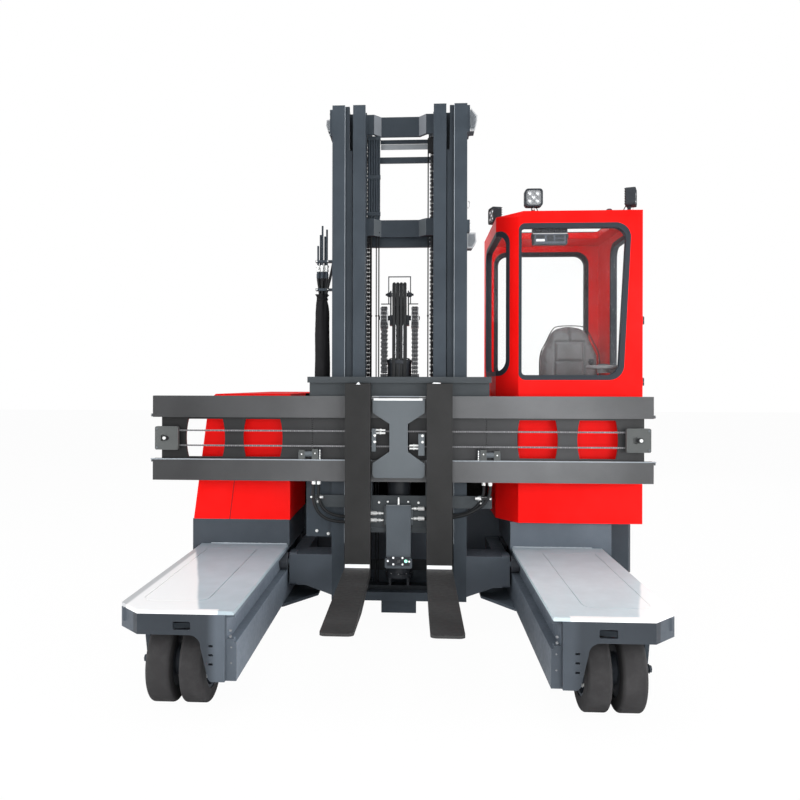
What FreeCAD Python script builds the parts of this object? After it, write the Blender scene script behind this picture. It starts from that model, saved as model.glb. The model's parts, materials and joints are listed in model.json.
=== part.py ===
import FreeCAD, Part
import math
import os

# Multidirectional reach truck, millimetres. X to the right seen from the fork side, Y to the rear,
# Z up. The forks point to -Y. Origin: on the floor, under the middle of the truck's box.
# Distances along the truck are measured from the front faces of the load arms.

# Overall
OVERALL_LENGTH = 3300.0
FRONT = -OVERALL_LENGTH / 2
RUN_GAP = 0.3
PIN_GAP = 0.1
MOVE_GAP = 6.0

# Chassis
ARM_LENGTH = 1404.0
CHASSIS_HALF = 1275.0
CHASSIS_TOP = 643.0
CHASSIS_BOTTOM = 165.0
CHASSIS_WALL = 20.0
RECESS_HALF = 674.0
RECESS_BACK = 2040.0
REAR_PLATE = 70.0
REAR_CORNER = 180.0

# Boarding step
STEP_OUT = 1460.0
STEP_BOTTOM = 290.0
STEP_TREAD = 460.0
STEP_WALL = 12.0

# Load arms and their rails
ARM_INNER = 682.0
ARM_OUTER = 1218.0
ARM_CHAMFER = 110.0
DECK_TOP = 491.0
DECK_THICK = 16.0
SEAM_IN = 840.0
SEAM_OUT = 1145.0
SEAM_FRONT = 150.0
SEAM_R = 60.0
SEAM_WIDTH = 4.0
SEAM_DEPTH = 3.0
SKIRT_BOTTOM = 385.0
SKIRT_WALL = 18.0
LEG_BOTTOM = 184.0
RAIL_WEB_OUT = 733.0
RAIL_WEB = 14.0
RAIL_IN = 675.0
RAIL_BEAM_TOP = 352.0
RAIL_FLANGE = 16.0
GUSSET_THICK = 16.0
GUSSET_IN = 500.0
GUSSET_FRONT = 1190.0
GUSSET_BACK = 1450.0
LEG_IN = 722.0
LEG_CURVE_X = 880.0
SLOT_X = (873.0, 951.0)
SLOT_Z = (406.0, 443.0)
LEG_HOLES_Z = (260.0, 300.0, 339.0)
BEAM_OUT = 1010.0
BEAM_START = 540.0
BEAM_BOTTOM = 205.0

# Front wheel units
TYRE_D = 376.0
TYRE_W = 110.0
TYRE_PITCH = 152.0
TYRE_SHOULDER = 16.0
RIM_D = 250.0
AXLE_D = 46.0
WHEEL_X = 972.0
WHEEL_Y = 265.0
YOKE_PLATE = 20.0
YOKE_GAP = 8.0
YOKE_TOP = 412.0
KINGPIN_D = 110.0

# Drive unit
DRIVE_Y = 2925.0
DRIVE_D = 400.0
DRIVE_W = 140.0
DRIVE_PITCH = 220.0
DRIVE_LEG = 60.0
POCKET_R = 300.0
POCKET_WALL = 12.0
SPIGOT_D = 300.0
TURNTABLE_D = 520.0
MOTOR_D = 270.0
MOTOR_TOP = 980.0

# Covers
COVER_TOP = 1415.0
COVER_WALL = 12.0
COVER_GAP = 4.0
HOOD_OUTER = 1270.0
HOOD_INNER = 670.0
HOOD_SLOPE = 95.0
HOOD_CHAMFER = 40.0
COVER_REAR = 3240.0
LID_THICK = 25.0
LID_SKIN = 4.0
LID_HINGE_R = 8.0
BATTERY_X = 500.0
BATTERY_FRONT = 2085.0
BATTERY_DEPTH = 520.0
BATTERY_BASE = 200.0
BATTERY_HEIGHT = 780.0

# Cab
CAB_LEFT = 600.0
CAB_RIGHT = 1452.0
CAB_FRONT = 1385.0
CAB_REAR = 2370.0
CAB_CORNER_X = 718.0
CAB_CORNER_Y = 1563.0
CAB_BASE = CHASSIS_TOP
CAB_TOP = 2521.0
CAB_WALL = 40.0
CAB_FLOOR = 60.0
ROOF_THICK = 45.0
ROOF_BEVEL_X = 746.0
ROOF_BEVEL_DROP = 37.0
WINDOW_SILL = 1503.0
WINDOW_HEAD = 2448.0
SIDE_SILL = 1529.0
SIDE_HEAD = 2429.0
WINDOW_R = 90.0
WINDOW_SMALL_R = 40.0
GLASS = 6.0
SEAT_X = 1168.0
SEAT_Y = 2190.0
SEAT_Z = 1300.0
STEER_X = 1262.0
STEER_Y = 1556.0
STEER_Z = WINDOW_SILL + 67.0
STEER_R = 92.0
SEAL = 30.0
CORNER_SEAL = 18.0
POST = 56.0
DOOR_REAR = 2040.0
DOOR_WINDOW_REAR = 1973.0
DOOR_THICK = 40.0
DOOR_GAP = 6.0
HINGE_D = 24.0

# Mast: three nested pairs of channels
MAST_TOP = 3157.0
MAST_FRONT = 1330.0
MAST_DEPTH = 200.0
STAGE_GAP = 6.0
FOOT_TOP = 226.0
FOOT_BOTTOM = 175.0
TIE_THICK = 16.0
INNER_TIES = ((2399.0, 2505.0), (3027.0, 3150.0))
MIDDLE_TIES = ((300.0, 366.0), (900.0, 966.0), (2345.0, 2411.0), (2878.0, 2915.0), (3085.0, 3151.0))
MIDDLE_NOTCH_X = 302.0
MIDDLE_NOTCH_Z = 2889.0
OUTER_TIES = ((2357.0, 2434.0), (1180.0, 1300.0))
FOOT_PLATE = 24.0
INNER_BACK = 1546.0
MIDDLE_BACK = 1600.0
OUTER_BACK = 1680.0
CHAIN_X = 200.0
CHAIN_Y = 1565.0
CHAIN_W = 26.0
CHAIN_T = 14.0
STAGE_SHEAVE_R = 35.0
STAGE_SHEAVE_Z = 3035.0

# Fork carriage and forks
BAR_HALF = 1484.0
BAR_FRONT = 1272.0
BAR_THICK = 50.0
UPPER_BAR = (1276.0, 1405.0)
LOWER_BAR = (897.0, 1025.0)
WEB_THICK = 14.0
CARRIAGE_BOTTOM = 592.0
WEB_OPENINGS = ((701.0, 940.0), (1052.0, 1290.0))
TOP_BEAM = (1485.0, 1520.0)
TOP_BEAM_HALF = 547.0
STRAP_Z = (739.0, 811.0)
STRAP_X = (-490.0, 552.0)

# Bearing blocks on the lower bar: inner x, outer x, height
BEARINGS = ((482.0, 517.0, 64.0), (563.0, 597.0, 58.0))
CHAIN_RUNS_Z = (1106.0, 1196.0)
SPROCKET_X = 1392.0
BLOCK_HALF = 70.0
PLATE_THICK = 42.0
FORK_WIDTH = 150.0
FORK_THICK = 60.0
FORK_X = 240.0
FORK_TOP = 1480.0
BLADE_TOP = 400.0
BLADE_TIP = 12.0

# Hose bundle: its pipes as x offset, y offset and top
MAST_HALF = 405.0
BUNDLE_X = -476.0
BUNDLE_Y = 1440.0
PIPES = ((-24.0, 0.0, 2452.0), (-6.0, 8.0, 2400.0), (12.0, -4.0, 2430.0), (28.0, 6.0, 2330.0))


# Reach carriage
REACH_OUT = 617.0
REACH_BOTTOM = 205.0
REACH_TOP = 448.0
REACH_CAP = 44.0
ROLLER_D = 100.0
ROLLER_W = 44.0
REACH_ROLLERS = (1350.0, 1940.0)

# Lift cylinders and crosshead
LIFT_X = 350.0
LIFT_R = 34.0
LIFT_Y = 1571.0
LIFT_TOP = 2340.0
LIFT_BASE = 210.0
ROD_R = 22.0
ROD_TOP = 3085.0
FREE_Y = 1445.0
FREE_BARREL_R = 73.0
FREE_ROD_R = 46.0
FREE_BASE = 323.0
FREE_TOP = 1625.0
ANCHOR_Z = 1540.0
CROSS_Z = (1837.0, 1898.0)
SHEAVE_X = 94.0
SHEAVE_R = 66.0
SHEAVE_W = 46.0
LEAF_PITCH = 38.0
LEAF_WIDE = 17.5
LEAF_NARROW = 13.0
CARRIAGE_ANCHOR_Z = LOWER_BAR[1] - 15.0
PULLEY_Z = 2027.0
PULLEY_R = 68.0
PULLEY_HALF = 44.0
PULLEY_LEAVES = 4
GUARD_TOP = 2140.0


def V(x, y, z):
    return FreeCAD.Vector(x, FRONT + y, z)


def box(x0, x1, y0, y1, z0, z1):
    """Box between limits; y counts from the front faces of the arms."""
    return Part.makeBox(x1 - x0, y1 - y0, z1 - z0, V(x0, y0, z0))


def sbox(side, x0, x1, y0, y1, z0, z1):
    """Box on the side -1 (left) or +1 (right), its x limits given as distances from the middle."""
    a, b = sorted((side * x0, side * x1))
    return box(a, b, y0, y1, z0, z1)


def rod_x(x0, x1, y, z, radius):
    a, b = sorted((x0, x1))
    return Part.makeCylinder(radius, b - a, V(a, y, z), FreeCAD.Vector(1, 0, 0))


def rod_y(x, y0, y1, z, radius):
    return Part.makeCylinder(radius, y1 - y0, V(x, y0, z), FreeCAD.Vector(0, 1, 0))


def rod_z(x, y, z0, z1, radius):
    return Part.makeCylinder(radius, z1 - z0, V(x, y, z0))


def plan(points, z0, z1):
    """Prism of a plan outline given as (x, y) points."""
    wire = Part.makePolygon([V(x, y, z0) for x, y in points + points[:1]])
    return Part.Face(wire).extrude(FreeCAD.Vector(0, 0, z1 - z0))


def elevation(points, y0, y1):
    """Prism of a front outline given as (x, z) points."""
    wire = Part.makePolygon([V(x, y0, z) for x, z in points + points[:1]])
    return Part.Face(wire).extrude(FreeCAD.Vector(0, y1 - y0, 0))


def profile(points, x0, x1):
    """Prism of a side outline given as (y, z) points."""
    wire = Part.makePolygon([V(x0, y, z) for y, z in points + points[:1]])
    return Part.Face(wire).extrude(FreeCAD.Vector(x1 - x0, 0, 0))


def fuse(shapes):
    body = shapes[0]
    if len(shapes) > 1:
        body = body.fuse(shapes[1:])
    return body.removeSplitter()


def group(shapes):
    """Solids of one node that do not touch."""
    return Part.makeCompound(shapes)


def mirror(shape):
    return shape.mirror(FreeCAD.Vector(0, 0, 0), FreeCAD.Vector(1, 0, 0))


def rounded(shape, radius, pick):
    """Round the edges that pick(edge) chooses."""
    edges = [edge for edge in shape.Edges if pick(edge)]
    return shape.makeFillet(radius, edges)


def upright(edge):
    a, b = edge.Vertexes[0].Point, edge.Vertexes[-1].Point
    return abs(a.x - b.x) < 0.01 and abs(a.y - b.y) < 0.01


def along(axis):
    """Picker of straight edges that run along the axis x, y or z."""
    others = [name for name in "xyz" if name != axis]

    def pick(edge):
        a, b = edge.Vertexes[0].Point, edge.Vertexes[-1].Point
        flat = all(abs(getattr(a, name) - getattr(b, name)) < 0.01 for name in others)
        return flat and isinstance(edge.Curve, Part.Line)
    return pick


# Chassis

def chassis_frame():
    wall = CHASSIS_WALL
    outer = box(-CHASSIS_HALF, CHASSIS_HALF, ARM_LENGTH, OVERALL_LENGTH, CHASSIS_BOTTOM, CHASSIS_TOP)
    rear = OVERALL_LENGTH + FRONT

    def rear_corner(edge):
        return upright(edge) and abs(edge.Vertexes[0].Point.y - rear) < 1.0
    outer = rounded(outer, REAR_CORNER, rear_corner)
    rail_top = DECK_TOP - DECK_THICK
    recess = box(-RECESS_HALF, RECESS_HALF, ARM_LENGTH, RECESS_BACK, CHASSIS_BOTTOM, CHASSIS_TOP)
    rail_space = box(-RAIL_WEB_OUT, RAIL_WEB_OUT, ARM_LENGTH, RECESS_BACK, CHASSIS_BOTTOM, rail_top)
    low, high = CHASSIS_BOTTOM + wall, CHASSIS_TOP - wall
    side_rooms = [sbox(side, x0 + wall, CHASSIS_HALF - wall, ARM_LENGTH + wall, RECESS_BACK, z0, z1)
                  for side in (-1, 1)
                  for x0, z0, z1 in ((RAIL_WEB_OUT, low, high), (RECESS_HALF, rail_top + wall, high))]
    main_room = box(-CHASSIS_HALF + wall, CHASSIS_HALF - wall, RECESS_BACK + wall,
                    OVERALL_LENGTH - REAR_PLATE, low, high)
    ring = rod_z(0, DRIVE_Y, CHASSIS_BOTTOM, CHASSIS_TOP, POCKET_R + POCKET_WALL)
    pocket = rod_z(0, DRIVE_Y, CHASSIS_BOTTOM, high, POCKET_R)
    bore = rod_z(0, DRIVE_Y, high, CHASSIS_TOP, SPIGOT_D / 2 + PIN_GAP)
    well = box(-BATTERY_X - RUN_GAP, BATTERY_X + RUN_GAP, BATTERY_FRONT - RUN_GAP,
               BATTERY_FRONT + BATTERY_DEPTH + RUN_GAP, high, CHASSIS_TOP)
    tray = box(-BATTERY_X, BATTERY_X, BATTERY_FRONT, BATTERY_FRONT + BATTERY_DEPTH, low, BATTERY_BASE)
    shell = outer.cut([recess, rail_space, main_room, well] + side_rooms)
    gussets = [plan([(side * RAIL_WEB_OUT, GUSSET_FRONT), (side * RAIL_WEB_OUT, RECESS_BACK),
                     (side * GUSSET_IN, RECESS_BACK), (side * GUSSET_IN, GUSSET_BACK),
                     (side * RAIL_IN, GUSSET_FRONT)], LEG_BOTTOM - GUSSET_THICK, LEG_BOTTOM)
               for side in (-1, 1)]
    shell = shell.fuse([ring, tray] + gussets).cut([pocket, bore])
    return shell.removeSplitter()


def reach_rail(side):
    """Inward-facing rail that carries the reach rollers, from the arm's front into the recess."""
    back = RECESS_BACK
    web = sbox(side, RAIL_WEB_OUT - RAIL_WEB, RAIL_WEB_OUT, SKIRT_WALL, back, LEG_BOTTOM, DECK_TOP - DECK_THICK)
    stop = sbox(side, RAIL_IN + 12, RAIL_WEB_OUT, SKIRT_WALL, SKIRT_WALL + 34, RAIL_BEAM_TOP, RAIL_BEAM_TOP + 14)
    beam = sbox(side, RAIL_IN, RAIL_WEB_OUT, SKIRT_WALL, back, LEG_BOTTOM, RAIL_BEAM_TOP)
    flange = sbox(side, ARM_INNER, RAIL_WEB_OUT, SKIRT_WALL, back,
                  DECK_TOP - DECK_THICK - RAIL_FLANGE, DECK_TOP - DECK_THICK)
    return fuse([web, beam, flange, stop])


def leg_outline():
    """Front plate of an arm, right side: leg at the inner edge, curved up into the skirt."""
    deck = DECK_TOP - DECK_THICK
    chamfer_x = ARM_OUTER - ARM_CHAMFER
    points = [V(LEG_IN, 0, deck), V(chamfer_x, 0, deck), V(chamfer_x, 0, SKIRT_BOTTOM),
              V(LEG_CURVE_X, 0, SKIRT_BOTTOM), V(LEG_CURVE_X - 52, 0, SKIRT_BOTTOM - 52),
              V(LEG_IN + 74, 0, LEG_BOTTOM + 14), V(LEG_IN + 60, 0, LEG_BOTTOM), V(LEG_IN, 0, LEG_BOTTOM)]
    count = len(points)
    edges = [Part.LineSegment(points[i], points[(i + 1) % count]).toShape() for i in range(count) if i != 3]
    edges.append(Part.Arc(points[3], V(LEG_CURVE_X - 38, 0, SKIRT_BOTTOM - 16), points[4]).toShape())
    return Part.Face(Part.Wire(Part.__sortEdges__(edges)))


def arm(side):
    """Load arm: skirts, front leg plate, pivot plate of the wheel unit and the box beam behind it."""
    deck = DECK_TOP - DECK_THICK
    front = leg_outline().extrude(FreeCAD.Vector(0, SKIRT_WALL, 0))
    slot = rounded(box(*SLOT_X, -1, SKIRT_WALL + 1, *SLOT_Z), 8.0, along("y"))
    hole_x = LEG_IN + 61
    holes = [box(hole_x - 10, hole_x + 10, -1, SKIRT_WALL + 1, z - 5, z + 5) for z in LEG_HOLES_Z]
    front = front.cut([slot] + holes)
    inset = SKIRT_WALL * math.sqrt(2)
    corner = plan([(ARM_OUTER - ARM_CHAMFER, 0), (ARM_OUTER, ARM_CHAMFER),
                   (ARM_OUTER - SKIRT_WALL, ARM_CHAMFER + inset - SKIRT_WALL),
                   (ARM_OUTER - ARM_CHAMFER - inset + SKIRT_WALL, SKIRT_WALL)], SKIRT_BOTTOM, deck)
    skirt = box(ARM_OUTER - SKIRT_WALL, ARM_OUTER, ARM_CHAMFER, ARM_LENGTH, SKIRT_BOTTOM, deck)
    pivot = box(RAIL_WEB_OUT, ARM_OUTER - SKIRT_WALL, SKIRT_WALL + 60, BEAM_START, YOKE_TOP + MOVE_GAP, deck)
    pivot = pivot.cut(rod_z(WHEEL_X, WHEEL_Y, 0, deck, KINGPIN_D / 2 + PIN_GAP))
    beam = box(RAIL_WEB_OUT, BEAM_OUT, BEAM_START, ARM_LENGTH, BEAM_BOTTOM, deck)
    room = box(RAIL_WEB_OUT + 12, BEAM_OUT - 12, BEAM_START + 12, ARM_LENGTH - 12, BEAM_BOTTOM + 12, deck - 12)
    gusset = profile([(ARM_LENGTH - 260, SKIRT_BOTTOM), (ARM_LENGTH, SKIRT_BOTTOM), (ARM_LENGTH, 220)],
                     ARM_OUTER - SKIRT_WALL, ARM_OUTER)
    solid = fuse([front, corner, skirt, pivot, beam.cut(room), gusset])
    return solid if side > 0 else mirror(solid)


def seam_outline(inset):
    """Plan outline of the long cover in the deck, round at its front corners, moved inward by inset."""
    x0, x1 = SEAM_IN + inset, SEAM_OUT - inset
    y0, y1 = SEAM_FRONT + inset, ARM_LENGTH - SEAM_FRONT - inset
    r = SEAM_R - inset
    outline = [(x0, y1)]
    for cx, start in ((x0 + r, 180.0), (x1 - r, 270.0)):
        for step in range(5):
            angle = math.radians(start + 22.5 * step)
            outline.append((cx + r * math.cos(angle), y0 + r + r * math.sin(angle)))
    return outline + [(x1, y1)]


def platform(side):
    """Deck plate of an arm with its chamfered corner and the seam of the bolted cover."""
    outline = [(ARM_INNER, 0), (ARM_OUTER - ARM_CHAMFER, 0), (ARM_OUTER, ARM_CHAMFER),
               (ARM_OUTER, ARM_LENGTH), (ARM_INNER, ARM_LENGTH)]
    plate = plan(outline, DECK_TOP - DECK_THICK, DECK_TOP)
    seam = plan(seam_outline(0), DECK_TOP - SEAM_DEPTH, DECK_TOP)
    island = plan(seam_outline(SEAM_WIDTH), DECK_TOP - SEAM_DEPTH, DECK_TOP)
    plate = plate.cut(seam.cut(island))
    return plate if side > 0 else mirror(plate)


# Wheels

def tyre(x, y, z, diameter, width, bore, shoulder):
    """Solid rubber tyre with round shoulders, its axis along X."""
    radius, half = diameter / 2, width / 2
    c = shoulder
    k = c * (1 - math.sqrt(0.5))
    o = V(x, y, z)

    def p(dx, r):
        return FreeCAD.Vector(o.x + dx, o.y, o.z + r)
    edges = [Part.LineSegment(p(-half, bore / 2), p(-half, radius - c)).toShape(),
             Part.Arc(p(-half, radius - c), p(-half + k, radius - k), p(-half + c, radius)).toShape(),
             Part.LineSegment(p(-half + c, radius), p(half - c, radius)).toShape(),
             Part.Arc(p(half - c, radius), p(half - k, radius - k), p(half, radius - c)).toShape(),
             Part.LineSegment(p(half, radius - c), p(half, bore / 2)).toShape(),
             Part.LineSegment(p(half, bore / 2), p(-half, bore / 2)).toShape()]
    face = Part.Face(Part.Wire(edges))
    return face.revolve(o, FreeCAD.Vector(1, 0, 0), 360)


def front_tyres(side):
    return group([tyre(side * WHEEL_X + k * TYRE_PITCH / 2, WHEEL_Y, TYRE_D / 2, TYRE_D, TYRE_W, RIM_D,
                       TYRE_SHOULDER) for k in (-1, 1)])


def front_hub(side):
    """Two rims joined by the hub sleeve, with the axle through them and its end nuts."""
    x, z = side * WHEEL_X, TYRE_D / 2
    half = TYRE_PITCH / 2 + TYRE_W / 2
    reach = half + YOKE_GAP + YOKE_PLATE
    pieces = [rod_x(x - reach - 10, x + reach + 10, WHEEL_Y, z, AXLE_D / 2),
              rod_x(x - half, x + half, WHEEL_Y, z, 70)]
    for k in (-1, 1):
        c = x + k * TYRE_PITCH / 2
        rim = rod_x(c - TYRE_W / 2 + 6, c + TYRE_W / 2 - 6, WHEEL_Y, z, RIM_D / 2)
        hollow = rod_x(c + k * 10, c + k * (TYRE_W / 2 + 1), WHEEL_Y, z, RIM_D / 2 - 14)
        pieces.append(rim.cut(hollow))
        pieces.append(rod_x(x + k * (reach + RUN_GAP), x + k * (reach + 14), WHEEL_Y, z, 30))
    return fuse(pieces)


def front_yoke(side):
    """Swivelling yoke: top plate with kingpin and two side plates that hold the axle."""
    x, z = side * WHEEL_X, TYRE_D / 2
    half = TYRE_PITCH / 2 + TYRE_W / 2 + YOKE_GAP
    top = rod_z(x, WHEEL_Y, YOKE_TOP - 24, YOKE_TOP, 185)
    pin = rod_z(x, WHEEL_Y, YOKE_TOP, DECK_TOP - DECK_THICK - 4, KINGPIN_D / 2)
    pieces = [top, pin]
    for k in (-1, 1):
        cheek = profile([(WHEEL_Y - 110, YOKE_TOP - 24), (WHEEL_Y + 110, YOKE_TOP - 24),
                         (WHEEL_Y + 55, z - 10), (WHEEL_Y + 30, z - 45), (WHEEL_Y - 30, z - 45),
                         (WHEEL_Y - 55, z - 10)], x + k * half, x + k * (half + YOKE_PLATE))
        pieces.append(cheek.cut(rod_x(x - 400, x + 400, WHEEL_Y, z, AXLE_D / 2 + PIN_GAP)))
    return fuse(pieces)


def drive_tyres():
    return group([tyre(k * DRIVE_PITCH / 2, DRIVE_Y, DRIVE_D / 2, DRIVE_D, DRIVE_W, 280, 18) for k in (-1, 1)])


def drive_hub():
    z = DRIVE_D / 2
    pieces = [rod_x(-DRIVE_PITCH / 2, DRIVE_PITCH / 2, DRIVE_Y, z, 40)]
    for k in (-1, 1):
        inner, outer = k * (DRIVE_LEG / 2 + MOVE_GAP), k * (DRIVE_PITCH / 2 + DRIVE_W / 2 - 8)
        rim = rod_x(inner, outer, DRIVE_Y, z, 140)
        pieces.append(rim.cut(rod_x(k * DRIVE_PITCH / 2, outer + k, DRIVE_Y, z, 120)))
        pieces.append(rod_x(k * DRIVE_PITCH / 2, outer, DRIVE_Y, z, 60))
    return fuse(pieces)


def drive_unit():
    """Turntable with its spigot in the deck, gear leg between the tyres and motor on top."""
    z = DRIVE_D / 2
    high = CHASSIS_TOP - CHASSIS_WALL
    disc = rod_z(0, DRIVE_Y, 500, high - MOVE_GAP, TURNTABLE_D / 2)
    spigot = rod_z(0, DRIVE_Y, high - MOVE_GAP, CHASSIS_TOP + 12, SPIGOT_D / 2)
    motor = rod_z(0, DRIVE_Y, CHASSIS_TOP + 12, MOTOR_TOP, MOTOR_D / 2)
    half = DRIVE_LEG / 2
    leg = profile([(DRIVE_Y - 120, 500), (DRIVE_Y + 120, 500), (DRIVE_Y + 75, z), (DRIVE_Y + 45, z - 60),
                   (DRIVE_Y - 45, z - 60), (DRIVE_Y - 75, z)], -half, half)
    leg = leg.cut(rod_x(-half, half, DRIVE_Y, z, 40 + PIN_GAP))
    return fuse([disc, spigot, motor, leg])


# Covers

def hood_section(inset):
    """Front outline of the left cover: sloping outer side and chamfered shoulder."""
    slope = HOOD_SLOPE + inset
    return [(-HOOD_OUTER + inset, CHASSIS_TOP), (-HOOD_INNER - inset, CHASSIS_TOP),
            (-HOOD_INNER - inset, COVER_TOP - inset), (-HOOD_OUTER + slope + HOOD_CHAMFER, COVER_TOP - inset),
            (-HOOD_OUTER + slope, COVER_TOP - HOOD_CHAMFER - inset)]


def hood_left():
    outer = elevation(hood_section(0), ARM_LENGTH, COVER_REAR)
    inner = elevation(hood_section(COVER_WALL), ARM_LENGTH + COVER_WALL, COVER_REAR - COVER_WALL)
    return outer.cut(inner)


def rear_section(inset):
    return [(-HOOD_INNER + COVER_GAP + inset, CHASSIS_TOP), (HOOD_OUTER - inset, CHASSIS_TOP),
            (HOOD_OUTER - HOOD_SLOPE - inset, COVER_TOP - HOOD_CHAMFER - inset),
            (HOOD_OUTER - HOOD_SLOPE - HOOD_CHAMFER - inset, COVER_TOP - inset),
            (-HOOD_INNER + COVER_GAP + inset, COVER_TOP - inset)]


LID_X = (-HOOD_INNER + 40, CAB_LEFT - 60)
LID_Y = (RECESS_BACK + 70, BATTERY_FRONT + BATTERY_DEPTH + 60)


def hood_rear():
    """Cover over battery and drive, stepped round the cab's rear corner, with the battery opening."""
    outer = elevation(rear_section(0), RECESS_BACK, COVER_REAR)
    inner = elevation(rear_section(COVER_WALL), RECESS_BACK + COVER_WALL, COVER_REAR - COVER_WALL)
    cab_space = box(CAB_LEFT - COVER_GAP, HOOD_OUTER + 10, RECESS_BACK - 1, CAB_REAR + COVER_GAP,
                    CHASSIS_TOP - 1, COVER_TOP + 1)
    walls = box(CAB_LEFT - COVER_GAP - COVER_WALL, HOOD_OUTER + 10, RECESS_BACK,
                CAB_REAR + COVER_GAP + COVER_WALL, CHASSIS_TOP, COVER_TOP)
    shell = outer.cut(inner).fuse(walls.common(outer)).cut(cab_space)
    opening = box(LID_X[0] + 25, LID_X[1] - 25, LID_Y[0] + 25, LID_Y[1] - 25, COVER_TOP - 50, COVER_TOP + 1)
    return shell.cut(opening).removeSplitter()


def battery_lid():
    """Lid over the battery opening, hinged at its rear edge."""
    z = COVER_TOP + RUN_GAP
    lid = rounded(box(LID_X[0], LID_X[1], LID_Y[0], LID_Y[1], z, z + LID_THICK), 12.0, upright)
    skin = LID_SKIN
    room = box(LID_X[0] + skin, LID_X[1] - skin, LID_Y[0] + skin, LID_Y[1] - skin, z - 1, z + LID_THICK - skin)
    lid = lid.cut(rounded(room, 12.0 - skin, upright))
    knuckles = [rod_x(x - 40, x + 40, LID_Y[1] + LID_HINGE_R, z + LID_HINGE_R, LID_HINGE_R)
                for x in (LID_X[0] + 150, LID_X[1] - 150)]
    leaves = [box(x - 40, x + 40, LID_Y[1] - 1, LID_Y[1] + LID_HINGE_R, z + 2, z + 6)
              for x in (LID_X[0] + 150, LID_X[1] - 150)]
    return fuse([lid] + knuckles + leaves)


def battery():
    return box(-BATTERY_X, BATTERY_X, BATTERY_FRONT, BATTERY_FRONT + BATTERY_DEPTH,
               BATTERY_BASE, BATTERY_BASE + BATTERY_HEIGHT)


def boarding_step():
    """Step under the cab door: curved side plate and two treads."""
    y0, y1 = ARM_LENGTH + 236, ARM_LENGTH + 736
    out, wall = STEP_OUT, STEP_WALL
    side = plan([(CHASSIS_HALF, y0), (out - 20, y0), (out, y0 + 30), (out, y1 - 30), (out - 20, y1),
                 (CHASSIS_HALF, y1)], STEP_BOTTOM, CHASSIS_TOP)
    room = plan([(CHASSIS_HALF, y0 + wall), (out - 26, y0 + wall), (out - wall, y0 + 36),
                 (out - wall, y1 - 36), (out - 26, y1 - wall), (CHASSIS_HALF, y1 - wall)],
                STEP_BOTTOM + wall, CHASSIS_TOP - wall)
    mouth = box(out - 60, out + 20, y0 + 50, y1 - 50, STEP_BOTTOM + 30, CHASSIS_TOP - 30)
    tread = box(CHASSIS_HALF, out - 26, y0 + 6, y1 - 6, STEP_TREAD, STEP_TREAD + wall)
    return fuse([side.cut([room, mouth]), tread])


# Cab

def cab_outline(inset):
    """Plan outline of the cab walls, moved inward by inset."""
    dx, dy = CAB_CORNER_X - CAB_LEFT, CAB_CORNER_Y - CAB_FRONT
    length = math.hypot(dx, dy)
    slant = inset * (length - dx) / dy
    shift = inset * (length - dy) / dx
    return [(CAB_CORNER_X + slant, CAB_FRONT + inset), (CAB_RIGHT - inset, CAB_FRONT + inset),
            (CAB_RIGHT - inset, CAB_REAR - inset), (CAB_LEFT + inset, CAB_REAR - inset),
            (CAB_LEFT + inset, CAB_CORNER_Y + shift)]


def cab_ring(z0, z1):
    return plan(cab_outline(0), z0, z1).cut(plan(cab_outline(CAB_WALL), z0, z1))


WALL_Z = (CAB_BASE + CAB_FLOOR, CAB_TOP - ROOF_THICK)
FRONT_WINDOW = [(CAB_CORNER_X, WINDOW_SILL), (1340, WINDOW_SILL), (1388, WINDOW_HEAD),
                (CAB_CORNER_X, WINDOW_HEAD)]
FRONT_PANE = [(CAB_CORNER_X + CORNER_SEAL - SEAL, WINDOW_SILL)] + FRONT_WINDOW[1:3]
FRONT_PANE.append((CAB_CORNER_X + CORNER_SEAL - SEAL, WINDOW_HEAD))
REAR_WINDOW = [(665, WINDOW_SILL), (1343, WINDOW_SILL), (1343, WINDOW_HEAD - 12), (665, WINDOW_HEAD - 12)]
SIDE_WINDOW = [(1453, SIDE_SILL), (2260, SIDE_SILL), (2260, SIDE_HEAD), (1453, SIDE_HEAD)]
DOOR_WINDOW = [(CAB_FRONT + POST + 44, WINDOW_SILL), (DOOR_WINDOW_REAR + SEAL, WINDOW_SILL),
               (DOOR_WINDOW_REAR + SEAL, WINDOW_HEAD - 24), (CAB_FRONT + POST + 44, WINDOW_HEAD - 24)]
HATCH = (700.0, 1340.0, 1500.0, 2060.0)


def inset_quad(points, inset):
    """Window outline moved inward by inset at each corner; corners in order from the lower left."""
    signs = [(1, 1), (-1, 1), (-1, -1), (1, -1)]
    return [(a + inset * i, b + inset * j) for (a, b), (i, j) in zip(points, signs)]


def pane_xz(points, y0, y1, inset=0.0, left_r=WINDOW_R):
    """Window outline through y0..y1; its corners at the lower x may have their own radius."""
    slab = elevation(inset_quad(points, inset), y0, y1)
    middle = (points[0][0] + points[1][0]) / 2
    pick = along("y")
    slab = rounded(slab, WINDOW_R - inset * 0.6, lambda e: pick(e) and e.Vertexes[0].Point.x > middle)
    return rounded(slab, left_r - inset * 0.6, lambda e: pick(e) and e.Vertexes[0].Point.x < middle)


def pane_yz(points, x0, x1, inset=0.0):
    """Window outline through x0..x1."""
    return rounded(profile(inset_quad(points, inset), x0, x1), WINDOW_R - inset * 0.6, along("x"))


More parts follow.
